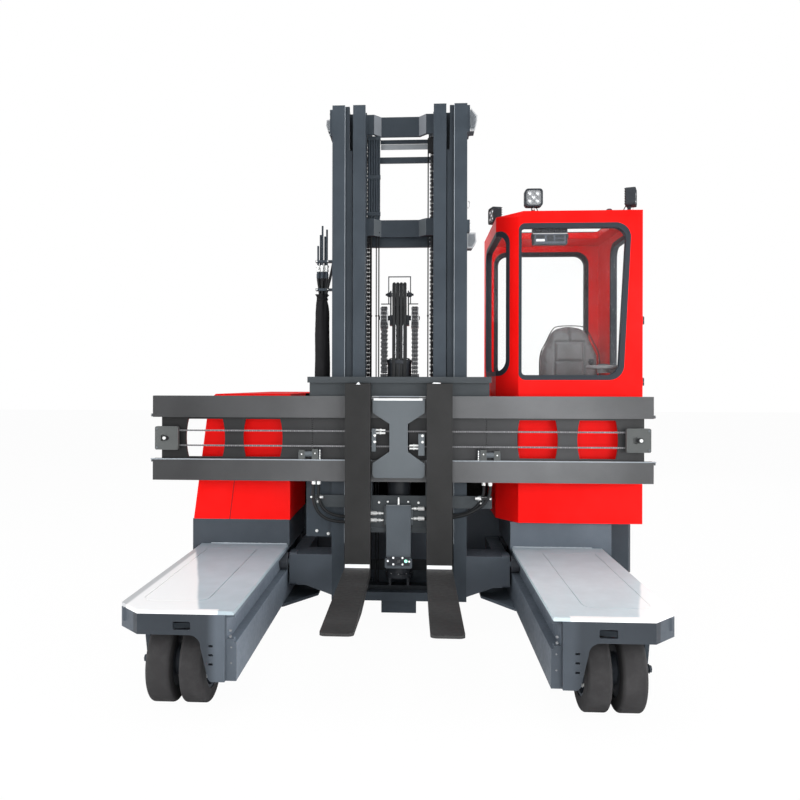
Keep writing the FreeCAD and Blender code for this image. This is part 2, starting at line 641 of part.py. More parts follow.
def cab_front():
    """Front panel with its corner post and the fixed knuckles of the door hinges."""
    ring = cab_ring(*WALL_Z)
    wall = ring.common(box(CAB_CORNER_X, CAB_RIGHT, CAB_FRONT, CAB_FRONT + CAB_WALL, *WALL_Z))
    post = ring.common(box(CAB_RIGHT - POST, CAB_RIGHT, CAB_FRONT, CAB_FRONT + POST, *WALL_Z))
    knuckles = [knuckle_and_leaf(z - HINGE_HEIGHT, z - RUN_GAP, -1) for z in HINGES_Z]
    wall = fuse([wall, post] + knuckles)
    return wall.cut(pane_xz(FRONT_WINDOW, CAB_FRONT - 1, CAB_FRONT + CAB_WALL + 1, 0.0, WINDOW_SMALL_R))


def cab_side():
    """Chamfered corner and inner side in one panel, its window running round the corner."""
    ring = cab_ring(*WALL_Z)
    wall = ring.cut(box(CAB_CORNER_X, CAB_RIGHT, CAB_FRONT, CAB_FRONT + CAB_WALL, *WALL_Z))
    wall = wall.common(box(CAB_LEFT, CAB_CORNER_X + CAB_WALL, CAB_FRONT, CAB_REAR - CAB_WALL, *WALL_Z))
    return wall.cut(pane_yz(SIDE_WINDOW, CAB_LEFT - 1, CAB_CORNER_X + CAB_WALL))


def cab_rear():
    """Rear panel with the fixed side panel behind the door."""
    wall = box(CAB_LEFT, CAB_RIGHT, CAB_REAR - CAB_WALL, CAB_REAR, *WALL_Z)
    side = box(CAB_RIGHT - CAB_WALL, CAB_RIGHT, DOOR_REAR + DOOR_GAP, CAB_REAR, *WALL_Z)
    return fuse([wall, side]).cut(pane_xz(REAR_WINDOW, CAB_REAR - CAB_WALL - 1, CAB_REAR + 1))


def cab_floor():
    return plan(cab_outline(0), CAB_BASE, CAB_BASE + CAB_FLOOR)


def cab_roof():
    """Roof plate with its hatch, bevelled where the front runs into the chamfered corner."""
    slab = plan(cab_outline(0), CAB_TOP - ROOF_THICK, CAB_TOP)
    hatch = box(*HATCH, CAB_TOP - ROOF_THICK - 1, CAB_TOP + 1)
    corners = [V(CAB_LEFT, CAB_CORNER_Y, CAB_TOP), V(CAB_CORNER_X, CAB_FRONT, CAB_TOP - ROOF_BEVEL_DROP),
               V(ROOF_BEVEL_X, CAB_FRONT, CAB_TOP)]
    middle = (corners[0] + corners[1] + corners[2]) * (1 / 3)
    wide = [middle + (corner - middle) * 1.5 for corner in corners]
    bevel = Part.Face(Part.makePolygon(wide + wide[:1])).extrude(FreeCAD.Vector(0, 0, 100))
    return slab.cut([rounded(hatch, 50.0, upright), bevel])


def seal_xz(outline, pane, y0, y1, left_r=WINDOW_R):
    return pane_xz(outline, y0, y1, 0.0, left_r).cut(pane_xz(pane, y0 - 1, y1 + 1, SEAL, left_r))


def seal_yz(points, x0, x1):
    return pane_yz(points, x0, x1, 0.0).cut(pane_yz(points, x0 - 1, x1 + 1, SEAL))


def cab_band(near, far):
    """Band of the cab's plan between two insets, over the walls' height."""
    return plan(cab_outline(near), *WALL_Z).cut(plan(cab_outline(far), *WALL_Z))


def cab_seals():
    """Rubber seals of the fixed windows; the side one runs round the chamfered corner."""
    x0, x1 = CAB_LEFT - 1, CAB_CORNER_X + CAB_WALL
    side = seal_yz(SIDE_WINDOW, x0, x1).common(cab_band(0, CAB_WALL))
    return group([seal_xz(FRONT_WINDOW, FRONT_PANE, CAB_FRONT, CAB_FRONT + CAB_WALL, WINDOW_SMALL_R),
                  seal_xz(REAR_WINDOW, REAR_WINDOW, CAB_REAR - CAB_WALL, CAB_REAR), side])


def cab_glass():
    """Fixed panes inside their seals, and the roof pane."""
    mid = CAB_WALL / 2 - GLASS / 2
    roof = box(*HATCH, CAB_TOP - ROOF_THICK, CAB_TOP - ROOF_THICK + GLASS)
    side = pane_yz(SIDE_WINDOW, CAB_LEFT, CAB_CORNER_X + CAB_WALL, SEAL).common(cab_band(mid, mid + GLASS))
    return group([pane_xz(FRONT_PANE, CAB_FRONT + mid, CAB_FRONT + mid + GLASS, SEAL, WINDOW_SMALL_R),
                  pane_xz(REAR_WINDOW, CAB_REAR - CAB_WALL + mid, CAB_REAR - CAB_WALL + mid + GLASS, SEAL),
                  side, rounded(roof, 50.0, upright)])


DOOR_Y = (CAB_FRONT + POST + DOOR_GAP, DOOR_REAR)
DOOR_Z = (WALL_Z[0] + DOOR_GAP, WALL_Z[1] - DOOR_GAP)
HINGE_X = CAB_RIGHT + HINGE_D / 2 + 0.5
HINGE_Y = CAB_FRONT + POST
HINGE_HEIGHT = 22.0
HINGES_Z = (900.0, 1492.0, 1862.0)


def knuckle_and_leaf(z0, z1, way):
    """Hinge knuckle with its leaf, to the front (-1) on the post or to the rear (1) on the door."""
    y0, y1 = sorted((HINGE_Y, HINGE_Y + way * 34))
    return fuse([rod_z(HINGE_X, HINGE_Y, z0, z1, HINGE_D / 2), box(CAB_RIGHT, CAB_RIGHT + 6, y0, y1, z0, z1)])


def door_panel():
    """Cab door with its window cut, hinge knuckles at the front edge and a pull handle."""
    slab = box(CAB_RIGHT - DOOR_THICK, CAB_RIGHT, DOOR_Y[0], DOOR_Y[1], DOOR_Z[0], DOOR_Z[1])
    slab = slab.cut(pane_yz(DOOR_WINDOW, CAB_RIGHT - DOOR_THICK - 1, CAB_RIGHT + 1))
    pieces = [slab]
    pieces += [knuckle_and_leaf(z, z + HINGE_HEIGHT, 1) for z in HINGES_Z]
    handle = box(CAB_RIGHT, CAB_RIGHT + 26, DOOR_Y[1] - 90, DOOR_Y[1] - 40, WINDOW_SILL - 203, WINDOW_SILL - 63)
    pieces.append(rounded(handle, 8.0, along("z")))
    return fuse(pieces)


def door_seal():
    return seal_yz(DOOR_WINDOW, CAB_RIGHT - DOOR_THICK, CAB_RIGHT)


def door_glass():
    x = CAB_RIGHT - DOOR_THICK / 2 - GLASS / 2
    return pane_yz(DOOR_WINDOW, x, x + GLASS, SEAL)


def seat():
    """Driver's seat: cushion and a bucket backrest that narrows to the head."""
    x, y, z = SEAT_X, SEAT_Y, SEAT_Z
    cushion = rounded(box(x - 215, x + 215, y - 420, y + 20, z - 120, z), 35.0, lambda e: True)
    half = [(205, 0), (214, 250), (208, 390), (165, 480), (125, 560), (75, 590)]
    outline = [(x + a, z + b) for a, b in half] + [(x - a, z + b) for a, b in reversed(half)]
    back = elevation(outline, y - 60, y + 50)
    back = rounded(back, 22.0, lambda e: True)
    return group([cushion, back])


def seat_base():
    """Box under the seat with the battery of valves, and the bracket that carries the backrest."""
    low, x, y = WALL_Z[0], SEAT_X, SEAT_Y
    return fuse([box(x - 175, x + 150, y - 380, y + 20, low, SEAT_Z - 120),
                 box(x - 120, x + 120, y + 20, y + 70, SEAT_Z - 160, SEAT_Z - 120),
                 box(x - 120, x + 120, y + 50, y + 70, SEAT_Z - 160, SEAT_Z + 240)])


def steering_gear():
    """Console at the driver's left with the small steering wheel, its spokes and column."""
    x, y, z = STEER_X, STEER_Y, STEER_Z
    column_x = CAB_RIGHT - DOOR_THICK - 44
    console = box(column_x - 18, CAB_RIGHT - DOOR_THICK - 12, y - 60, y + 190, WALL_Z[0], 1180)
    column = rod_z(column_x + 6, y, 1180, z, 20)
    rim = Part.makeTorus(STEER_R, 12, V(x, y, z + 14))
    spoke = rod_x(x - STEER_R, x + STEER_R, y, z + 14, 8)
    boss = rod_z(x, y, z - 20, z + 30, 38)
    arm_rest = box(x - 10, column_x + 24, y - 20, y + 20, z - 20, z)
    return fuse([console, column, arm_rest, boss, spoke, rim])


def cab_console():
    """Dash under the front window and the monitor at its top left corner."""
    dash = box(800, 1250, CAB_FRONT + CAB_WALL, CAB_FRONT + CAB_WALL + 160, WALL_Z[0], 1120)
    top = CAB_TOP - ROOF_THICK
    monitor = rounded(box(811, 1022, CAB_FRONT + 75, CAB_FRONT + 110, top - 145, top - 40), 8.0, along("y"))
    stem = box(880, 920, CAB_FRONT + 80, CAB_FRONT + 105, top - 40, top)
    return group([dash, fuse([monitor, stem])])


# Columns: x, y, direction of the beam in plan in degrees from -Y
LAMPS = ((811.0, 1440.0, 0.0), (1388.0, 1440.0, 70.0), (636.0, 1904.0, -75.0))


def work_lamps():
    """Square lamps on stems at the roof's corners."""
    lamps = []
    for x, y, turn in LAMPS:
        z = CAB_TOP + 32
        case = box(x - 54, x + 54, y - 30, y + 18, z, z + 108)
        case = rounded(case, 20.0, along("y"))
        stem = box(x - 10, x + 10, y - 8, y + 12, CAB_TOP, z)
        lamp = fuse([case, stem])
        lamp.rotate(V(x, y, z), FreeCAD.Vector(0, 0, 1), turn)
        lamps.append(lamp)
    return group(lamps)


# Mast

# Columns: outer x, inner x of the flanges, web outer x, web, front inset, rear inset, flange
STAGES = {
    "outer": (405.0, 328.0, 405.0, 14.0, 0.0, 0.0, 20.0),
    "middle": (376.0, 286.0, 324.0, 16.0, 26.0, 26.0, 18.0),
    "inner": (280.0, 205.0, 280.0, 14.0, 0.0, 50.0, 16.0),
}
STAGE_FOOT = {"outer": FOOT_BOTTOM, "middle": FOOT_TOP + RUN_GAP, "inner": FOOT_TOP + RUN_GAP}


# Lamps at the mast's sides: side, bracket bottom and top, outline of the head as (x, z)
MAST_LAMPS = (
    (-1, 2976.0, 3134.0, ((415, 3020), (440, 3026), (449, 3056), (447, 3090), (415, 3098))),
    (1, 2989.0, 3148.0, ((415, 3010), (452, 3012), (466, 3067), (467, 3103), (432, 3147), (415, 3147))),
    (1, 2390.0, 2462.0, ((410, 2394), (459, 2394), (464, 2339), (440, 2302), (410, 2302))),
)


def channel(stage, side, z0, z1):
    """One upright of a stage: web with a front and a rear flange."""
    out_x, in_x, web_x, web, front, rear, flange = STAGES[stage]
    y0, y1 = MAST_FRONT + front, MAST_FRONT + MAST_DEPTH - rear
    parts = [sbox(side, in_x, out_x, y0, y0 + flange, z0, z1),
             sbox(side, in_x, out_x, y1 - flange, y1, z0, z1),
             sbox(side, web_x - web, web_x, y0, y1, z0, z1)]
    return fuse(parts)


def bowed_tie(half, flat, bowed, y_root, y_back, z0, z1):
    """Cross tie: flat ends on the uprights' rear faces, slanting facets, and a back set to the rear."""
    t, skew = TIE_THICK, TIE_THICK * 0.4
    front = [(half, y_root), (flat, y_root), (bowed, y_back - t)]
    rear = [(bowed + skew, y_back), (flat + skew, y_root + t), (half, y_root + t)]
    loop = front + [(-x, y) for x, y in reversed(front)] + [(-x, y) for x, y in reversed(rear)] + rear
    return plan(loop, z0, z1)


def mast_outer():
    """Fixed stage: uprights, foot crossmember, rear ties and the reach cheeks' weld faces."""
    rear = MAST_FRONT + MAST_DEPTH
    pieces = [channel("outer", side, FOOT_BOTTOM, MAST_TOP) for side in (-1, 1)]
    pieces.append(box(-405, 405, MAST_FRONT, rear, FOOT_BOTTOM, FOOT_TOP))
    for z0, z1 in OUTER_TIES + ((FOOT_BOTTOM, 300.0),):
        for side in (-1, 1):
            pieces.append(sbox(side, 391, 405, rear, OUTER_BACK, z0, z1))
        pieces.append(box(-405, 405, OUTER_BACK - 26, OUTER_BACK, z0, z1))
    pieces.append(box(-105, 105, MAST_FRONT + 20, rear, 98, FOOT_BOTTOM))
    pieces.append(sbox(-1, 400, 565, MAST_FRONT + 50, MAST_FRONT + 62, 547, 889))
    for side, z0, z1, outline in MAST_LAMPS:
        pieces.append(sbox(side, 400, 421, MAST_FRONT + 8, MAST_FRONT + 155, z0, z1))
        pieces.append(elevation([(side * x, z) for x, z in outline], MAST_FRONT + 70, MAST_FRONT + 160))
    for side in (-1, 1):
        pieces.append(sbox(side, LIFT_X - 40, 405, rear, OUTER_BACK - 26, FOOT_BOTTOM, LIFT_BASE))
    return fuse(pieces)


def mast_middle():
    """Middle stage: uprights, top tie that the lift rods push, lower ties."""
    in_x, front, rear_inset, flange = STAGES["middle"][1], *STAGES["middle"][4:]
    rear = MAST_FRONT + MAST_DEPTH - rear_inset
    z0 = STAGE_FOOT["middle"]
    back = MAST_FRONT + MAST_DEPTH + STAGE_GAP
    pieces = []
    for side in (-1, 1):
        notch = sbox(side, in_x - 1, MIDDLE_NOTCH_X, MAST_FRONT + front - 1, MAST_FRONT + front + flange + 1,
                     MIDDLE_NOTCH_Z, MAST_TOP + 1)
        pieces.append(channel("middle", side, z0, MAST_TOP).cut(notch))
        pieces.append(sbox(side, in_x, 320, rear, LIFT_Y + LIFT_R, ROD_TOP, MAST_TOP))
        pieces.append(sbox(side, in_x, LIFT_X + LIFT_R, back, LIFT_Y + LIFT_R, ROD_TOP, MAST_TOP))
    for low, high in MIDDLE_TIES:
        pieces.append(bowed_tie(318, 290, 225, rear, MIDDLE_BACK, low, high))
    for side in (-1, 1):
        for x in (CHAIN_X - CHAIN_W / 2 - 8, CHAIN_X + CHAIN_W / 2 + 2):
            pieces.append(sbox(side, x, x + 6, MIDDLE_BACK - TIE_THICK, MIDDLE_BACK + 20,
                               STAGE_SHEAVE_Z - 20, ROD_TOP))
        pieces.append(rod_x(side * (CHAIN_X - CHAIN_W / 2 - 6), side * (CHAIN_X + CHAIN_W / 2 + 6),
                            CHAIN_Y + STAGE_SHEAVE_R, STAGE_SHEAVE_Z, STAGE_SHEAVE_R - CHAIN_T / 2))
    return fuse(pieces)


def mast_inner():
    """Inner stage: uprights, two rear ties and the foot plate under the free-lift cylinder."""
    web_x, web, rear_inset = STAGES["inner"][2], STAGES["inner"][3], STAGES["inner"][5]
    half = web_x - web
    rear = MAST_FRONT + MAST_DEPTH - rear_inset
    z0 = STAGE_FOOT["inner"]
    pieces = [channel("inner", side, z0, MAST_TOP) for side in (-1, 1)]
    for low, high in INNER_TIES:
        pieces.append(bowed_tie(250, 161, 118, rear, INNER_BACK, low, high))
    pieces.append(box(-half, half, MAST_FRONT + 70, rear, z0, z0 + FOOT_PLATE))
    for side in (-1, 1):
        pieces.append(sbox(side, CHAIN_X - 30, CHAIN_X + 30, rear - 4, CHAIN_Y + CHAIN_T / 2, z0, z0 + FOOT_PLATE))
    return fuse(pieces)


def lift_cylinders():
    """Two lift barrels behind the outer uprights, open bores for their rods."""
    barrels = []
    for side in (-1, 1):
        barrel = rod_z(side * LIFT_X, LIFT_Y, LIFT_BASE, LIFT_TOP, LIFT_R)
        bore = rod_z(side * LIFT_X, LIFT_Y, LIFT_BASE + 30, LIFT_TOP + 1, ROD_R + PIN_GAP)
        barrels.append(barrel.cut(bore))
    return group(barrels)


def lift_rods():
    return group([rod_z(side * LIFT_X, LIFT_Y, LIFT_BASE + 35, ROD_TOP, ROD_R) for side in (-1, 1)])


def free_lift_cylinder():
    """Centre cylinder on the inner stage: two foot plates, base flange, barrel and gland ring."""
    z0 = STAGE_FOOT["inner"] + FOOT_PLATE
    feet = [sbox(side, 48, 62, FREE_Y - 45, FREE_Y + 30, z0, FREE_BASE - 26) for side in (-1, 1)]
    body = fuse(feet + [rod_z(0, FREE_Y, FREE_BASE - 26, FREE_BASE, FREE_BARREL_R + 4),
                        rod_z(0, FREE_Y, FREE_BASE, FREE_TOP, FREE_BARREL_R),
                        box(-120, 120, FREE_Y + 40, FREE_Y + 60, ANCHOR_Z - 60, ANCHOR_Z)])
    return body.cut(rod_z(0, FREE_Y, FREE_BASE + 60, FREE_TOP + 1, FREE_ROD_R + PIN_GAP))


def free_lift_rod():
    return rod_z(0, FREE_Y, FREE_BASE + 260, CROSS_Z[0], FREE_ROD_R)


def crosshead():
    """Crosshead on the rod with the sheave pins, the hose pulley cheeks and the wire guard."""
    z0, z1 = CROSS_Z
    block = box(-60, 60, FREE_Y - 45, FREE_Y + 45, z0, z1)
    pin = rod_x(-120, 120, FREE_Y, (z0 + z1) / 2 + 16, 15)
    cheeks = [sbox(side, 50, 58, FREE_Y - 24, FREE_Y + 24, z1, PULLEY_Z + 22) for side in (-1, 1)]
    axle = rod_x(-76, 76, FREE_Y, PULLEY_Z, 12)
    guard = fuse([box(-70, -64, FREE_Y - 3, FREE_Y + 3, PULLEY_Z - 60, GUARD_TOP),
                  box(64, 70, FREE_Y - 3, FREE_Y + 3, PULLEY_Z - 60, GUARD_TOP),
                  box(-70, 70, FREE_Y - 3, FREE_Y + 3, GUARD_TOP - 6, GUARD_TOP),
                  box(-114, 114, FREE_Y - 3, FREE_Y + 3, PULLEY_Z - 60, PULLEY_Z - 54)])
    guard = guard.cut(box(-50, 50, FREE_Y - 4, FREE_Y + 4, PULLEY_Z - 70, GUARD_TOP - 20))
    return fuse([block, pin, axle, guard] + cheeks)


def sheaves():
    """Chain sheaves at the crosshead's sides and the bank of hose pulleys above it."""
    z = (CROSS_Z[0] + CROSS_Z[1]) / 2 + 16
    wheels = []
    for side in (-1, 1):
        a, b = side * (SHEAVE_X - SHEAVE_W / 2), side * (SHEAVE_X + SHEAVE_W / 2)
        wheel = rod_x(a, b, FREE_Y, z, SHEAVE_R)
        track = rod_x(a + side * 5, b - side * 5, FREE_Y, z, SHEAVE_R + 1)
        core = rod_x(a, b, FREE_Y, z, SHEAVE_R - CHAIN_T)
        wheels.append(wheel.cut(track.cut(core)).cut(rod_x(a, b, FREE_Y, z, 15 + PIN_GAP)))
    bank = rod_x(-PULLEY_HALF, PULLEY_HALF, FREE_Y, PULLEY_Z, PULLEY_R)
    pitch = 2 * PULLEY_HALF / PULLEY_LEAVES
    for k in range(PULLEY_LEAVES):
        a = -PULLEY_HALF + k * pitch + 4
        groove = rod_x(a, a + pitch - 8, FREE_Y, PULLEY_Z, PULLEY_R + 1)
        bank = bank.cut(groove.cut(rod_x(a, a + pitch - 8, FREE_Y, PULLEY_Z, PULLEY_R - 12)))
    return group(wheels + [bank.cut(rod_x(-46, 46, FREE_Y, PULLEY_Z, 12 + PIN_GAP))])


def leaf_chain(side, y, z0, z1):
    """Hanging leaf chain: wide and narrow link packs in turn."""
    count = max(1, round((z1 - z0) / LEAF_PITCH))
    step = (z1 - z0) / count
    right = []
    for k in range(count):
        z = z0 + k * step
        right += [(LEAF_WIDE, z), (LEAF_WIDE, z + step * 0.6), (LEAF_NARROW, z + step * 0.6), (LEAF_NARROW, z + step)]
    outline = [(side * SHEAVE_X + x, z) for x, z in right]
    outline += [(side * SHEAVE_X - x, z) for x, z in reversed(right)]
    return elevation(outline, y - CHAIN_T / 2, y + CHAIN_T / 2)


def half_ring(side, y, z, radius, x, width, thick):
    """Chain lying over the upper half of a sheave."""
    a, b = side * (x - width / 2), side * (x + width / 2)
    ring = rod_x(a, b, y, z, radius + thick / 2).cut(rod_x(a, b, y, z, radius - thick / 2))
    return ring.common(box(-600, 600, y - 200, y + 200, z, z + 200))


def lift_chains():
    """Front strands of the carriage chains, from the sheaves down to the carriage."""
    z = (CROSS_Z[0] + CROSS_Z[1]) / 2 + 16
    radius = SHEAVE_R - CHAIN_T / 2 + RUN_GAP
    return group([leaf_chain(side, FREE_Y - radius, CARRIAGE_ANCHOR_Z, z - RUN_GAP) for side in (-1, 1)])


def anchor_chains():
    """Rear strands of the carriage chains, over the sheaves and down to the barrel's bracket."""
    z = (CROSS_Z[0] + CROSS_Z[1]) / 2 + 16
    radius = SHEAVE_R - CHAIN_T / 2 + RUN_GAP
    strands = []
    for side in (-1, 1):
        strand = leaf_chain(side, FREE_Y + radius, ANCHOR_Z + RUN_GAP, z)
        over = half_ring(side, FREE_Y, z, radius, SHEAVE_X, 2 * LEAF_NARROW, CHAIN_T)
        strands.append(fuse([strand, over]))
    return group(strands)


def stage_chains():
    """Chains that pull the inner stage: from its foot to the middle stage's sheaves."""
    z0 = STAGE_FOOT["inner"] + FOOT_PLATE
    return group([sbox(side, CHAIN_X - CHAIN_W / 2, CHAIN_X + CHAIN_W / 2, CHAIN_Y - CHAIN_T / 2,
                       CHAIN_Y + CHAIN_T / 2, z0, STAGE_SHEAVE_Z) for side in (-1, 1)])


# Reach carriage

def reach_frame():
    """Boxes between mast foot and arm rails, their end caps, and the beams that carry the rollers."""
    halves = []
    y0, y1 = MAST_FRONT, MAST_FRONT + 210
    for side in (-1, 1):
        outline = [(405, REACH_BOTTOM), (560, REACH_BOTTOM + 57), (REACH_OUT, REACH_BOTTOM + 59),
                   (REACH_OUT, REACH_TOP), (405, REACH_TOP)]
        cheek = elevation([(side * x, z) for x, z in outline], y0, y1)
        cap = sbox(side, REACH_OUT, REACH_OUT + REACH_CAP, y0, y0 + 110, REACH_BOTTOM + 57, REACH_TOP + 8)
        cap = rounded(cap, 18.0, along("x"))
        beam = sbox(side, REACH_OUT - 40, REACH_OUT + REACH_CAP, y0 + 60, REACH_ROLLERS[1] + 60, 330, REACH_TOP - 10)
        pins = [rod_x(side * (REACH_OUT + REACH_CAP - 4), side * (RAIL_WEB_OUT - RAIL_WEB - 2), y,
                      RAIL_BEAM_TOP + RUN_GAP + ROLLER_D / 2, 20) for y in REACH_ROLLERS]
        halves.append(fuse([cheek, cap, beam] + pins))
    return group(halves)


def reach_rollers():
    rollers = []
    outer = RAIL_WEB_OUT - RAIL_WEB - MOVE_GAP
    for side in (-1, 1):
        for y in REACH_ROLLERS:
            z = RAIL_BEAM_TOP + RUN_GAP + ROLLER_D / 2
            wheel = rod_x(side * (outer - ROLLER_W), side * outer, y, z, ROLLER_D / 2)
            rollers.append(wheel.cut(rod_x(side * (outer - ROLLER_W), side * outer, y, z, 20 + PIN_GAP)))
    return group(rollers)


# Fork carriage

def carriage_bars():
    """Upper and lower bars, their web plates with barrel openings and the centre plate."""
    front, back = BAR_FRONT, BAR_FRONT + BAR_THICK
    pieces = []
    for z0, z1 in (UPPER_BAR, LOWER_BAR):
        pieces.append(box(-BAR_HALF, BAR_HALF, front, back, z0, z1))
    for side in (-1, 1):
        web = sbox(side, 60, 1440, back - WEB_THICK, back, LOWER_BAR[1], UPPER_BAR[0])
        for x0, x1 in WEB_OPENINGS:
            web = web.cut(barrel_opening(side, x0, x1))
        pieces.append(web)
    return fuse(pieces)


def barrel_opening(side, x0, x1):
    """Opening with bulged sides in the web plate."""
    y0, y1 = BAR_FRONT, BAR_FRONT + BAR_THICK + 1
    z0, z1 = LOWER_BAR[1] + 12, UPPER_BAR[0] - 12
    mid, bulge = (z0 + z1) / 2, 14.0
    a, b = sorted((side * x0, side * x1))
    edges = [Part.Arc(V(a + bulge, y0, z0), V(a, y0, mid), V(a + bulge, y0, z1)).toShape(),
             Part.LineSegment(V(a + bulge, y0, z1), V(b - bulge, y0, z1)).toShape(),
             Part.Arc(V(b - bulge, y0, z1), V(b, y0, mid), V(b - bulge, y0, z0)).toShape(),
             Part.LineSegment(V(b - bulge, y0, z0), V(a + bulge, y0, z0)).toShape()]
    return Part.Face(Part.Wire(edges)).extrude(FreeCAD.Vector(0, y1 - y0, 0))


def centre_plate():
    """Spool-shaped plate between the forks, its wide ends chamfered to the waist."""
    half = [(153, 1388), (153, 1308), (54, 1243), (54, 1078), (100, 1046), (153, 1010), (153, 925)]
    outline = half + [(-x, z) for x, z in reversed(half)]
    plate = elevation(outline, BAR_FRONT - PLATE_THICK, BAR_FRONT)

    def front_corner(edge):
        return along("y")(edge) and edge.Vertexes[0].Point.z < 930
    return rounded(plate, 22.0, front_corner)


def carriage_frame():
    """Roller plates behind the bars, top beam, hose crossbar and the lower centre plate."""
    back = BAR_FRONT + BAR_THICK
    pieces = [sbox(side, 160, 178, back, MAST_FRONT + 140, CARRIAGE_BOTTOM, TOP_BEAM[0]) for side in (-1, 1)]
    pieces.append(box(-178, 178, back, back + 8, UPPER_BAR[0], TOP_BEAM[0]))
    pieces.append(box(-178, 178, back, back + 8, LOWER_BAR[0], LOWER_BAR[1]))
    pieces.append(box(-TOP_BEAM_HALF, TOP_BEAM_HALF, back - 42, back, *TOP_BEAM))
    pieces.append(box(-TOP_BEAM_HALF + 10, TOP_BEAM_HALF - 10, back - 16, back, UPPER_BAR[1], TOP_BEAM[0]))
    pieces.append(box(*STRAP_X, back - 20, back, *STRAP_Z))
    lower = [(-160, 619), (160, 619), (160, 770), (135, 793), (-135, 793), (-160, 770)]
    pieces.append(elevation(lower, back - 20, back))
    pieces.append(box(-178, 178, back - 26, back + 8, CARRIAGE_BOTTOM, CARRIAGE_BOTTOM + 30))
    for side in (-1, 1):
        pieces.append(sbox(side, 160, 178, back - 20, back, CARRIAGE_BOTTOM, LOWER_BAR[0]))
        pieces.append(sbox(side, 60, 130, back, FREE_Y - SHEAVE_R - 6, CARRIAGE_ANCHOR_Z - 40, CARRIAGE_ANCHOR_Z))
        pieces.append(sbox(side, 60, 178, back, back + 8, CARRIAGE_ANCHOR_Z - 40, LOWER_BAR[1]))
    return fuse(pieces)


def carriage_rollers():
    """Rollers that run in the inner stage."""
    z_list = (720.0, 1420.0)
    front, rear, flange = STAGES["inner"][4:]
    radius = (MAST_DEPTH - front - rear - 2 * flange) / 2 - RUN_GAP
    y = MAST_FRONT + (MAST_DEPTH + front - rear) / 2
    rollers = []
    for side in (-1, 1):
        for z in z_list:
            rollers.append(rod_x(side * 178, side * 250, y, z, radius))
    return group(rollers)


def positioner_chains():
    """Closed chain loop of the fork positioner, between the two bars."""
    y0, y1 = BAR_FRONT + 6, BAR_FRONT + 14
    low, high = CHAIN_RUNS_Z
    z = (low + high) / 2
    outer, inner = (high - low) / 2 + 5, (high - low) / 2 - 5
    x = SPROCKET_X
    loop = fuse([box(-x, x, y0, y1, z - outer, z + outer), rod_y(x, y0, y1, z, outer), rod_y(-x, y0, y1, z, outer)])
    hole = fuse([box(-x, x, y0, y1, z - inner, z + inner), rod_y(x, y0, y1, z, inner), rod_y(-x, y0, y1, z, inner)])
    return loop.cut(hole)


def positioner_blocks():
    """End blocks with their sprockets, and the bearing blocks on the lower bar."""
    z = sum(CHAIN_RUNS_Z) / 2
    inner = (CHAIN_RUNS_Z[1] - CHAIN_RUNS_Z[0]) / 2 - 5
    back = BAR_FRONT + BAR_THICK - WEB_THICK
    pieces = []
    for side in (-1, 1):
        x = side * SPROCKET_X
        block = box(x - BLOCK_HALF, x + BLOCK_HALF, BAR_FRONT - 26, BAR_FRONT + 2, z - BLOCK_HALF, z + BLOCK_HALF)
        block = rounded(block, 10.0, along("y"))
        slot = rounded(box(x - 34, x - 6, BAR_FRONT - 27, BAR_FRONT - 14, z - 20, z + 20), 8.0, along("y"))
        wheel = rod_y(x, BAR_FRONT + 2, back, z, inner - RUN_GAP)
        bolt = rod_y(x + side * 10, BAR_FRONT - 38, BAR_FRONT - 26, z, 12)
        pieces.append(fuse([block.cut(slot), wheel, bolt]))
        for x0, x1, high in BEARINGS:
            pieces.append(sbox(side, x0, x1, BAR_FRONT + 2, back, LOWER_BAR[1], LOWER_BAR[1] + high))
    return group(pieces)


def camera_box():
    """Cover box at the carriage's foot with the camera and its lamps under it."""
    back = BAR_FRONT + BAR_THICK - 26
    cover = box(-72, 72, back - 40, back, 455, 759)
    camera = rounded(box(-80, 80, back - 52, back - 6, 391, 450), 10.0, along("y"))
    lens = rod_y(0, back - 60, back - 52, 419, 16)
    lamps = [rod_y(x, back - 58, back - 52, z, 8) for x in (-34, 34) for z in (407, 431)]
    return fuse([cover, camera, lens, box(-60, 60, back - 40, back - 6, 445, 460)] + lamps)


def sleeve(x, y, sections):
    """Round stack: one cone between each pair of (z, radius) sections."""
    solids = []
    for (z0, r0), (z1, r1) in zip(sections, sections[1:]):
        if abs(r0 - r1) < 0.01:
            solids.append(rod_z(x, y, z0, z1, r0))
        else:
            solids.append(Part.makeCone(r0, r1, z1 - z0, V(x, y, z0)))
    return fuse(solids)


def mast_hoses():
    """Sleeved hose bundle beside the mast with the steel pipes above it and its two clamps."""
    x, y = BUNDLE_X, BUNDLE_Y
    bundle = sleeve(x, y, [(892, 40), (1500, 44), (1640, 47), (1940, 44), (2000, 26), (2036, 30)])
    pipes = [rod_z(x + dx, y + dy, 2036, top, 8) for dx, dy, top in PIPES]
    clamps = [box(x - 40, -MAST_HALF, y - 14, y + 14, z, z + 26) for z in (2036, 2226)]
    rest = box(x - 44, x + 44, MAST_FRONT + 62, y + 44, 868, 892)
    return fuse([bundle, rest] + pipes + clamps)


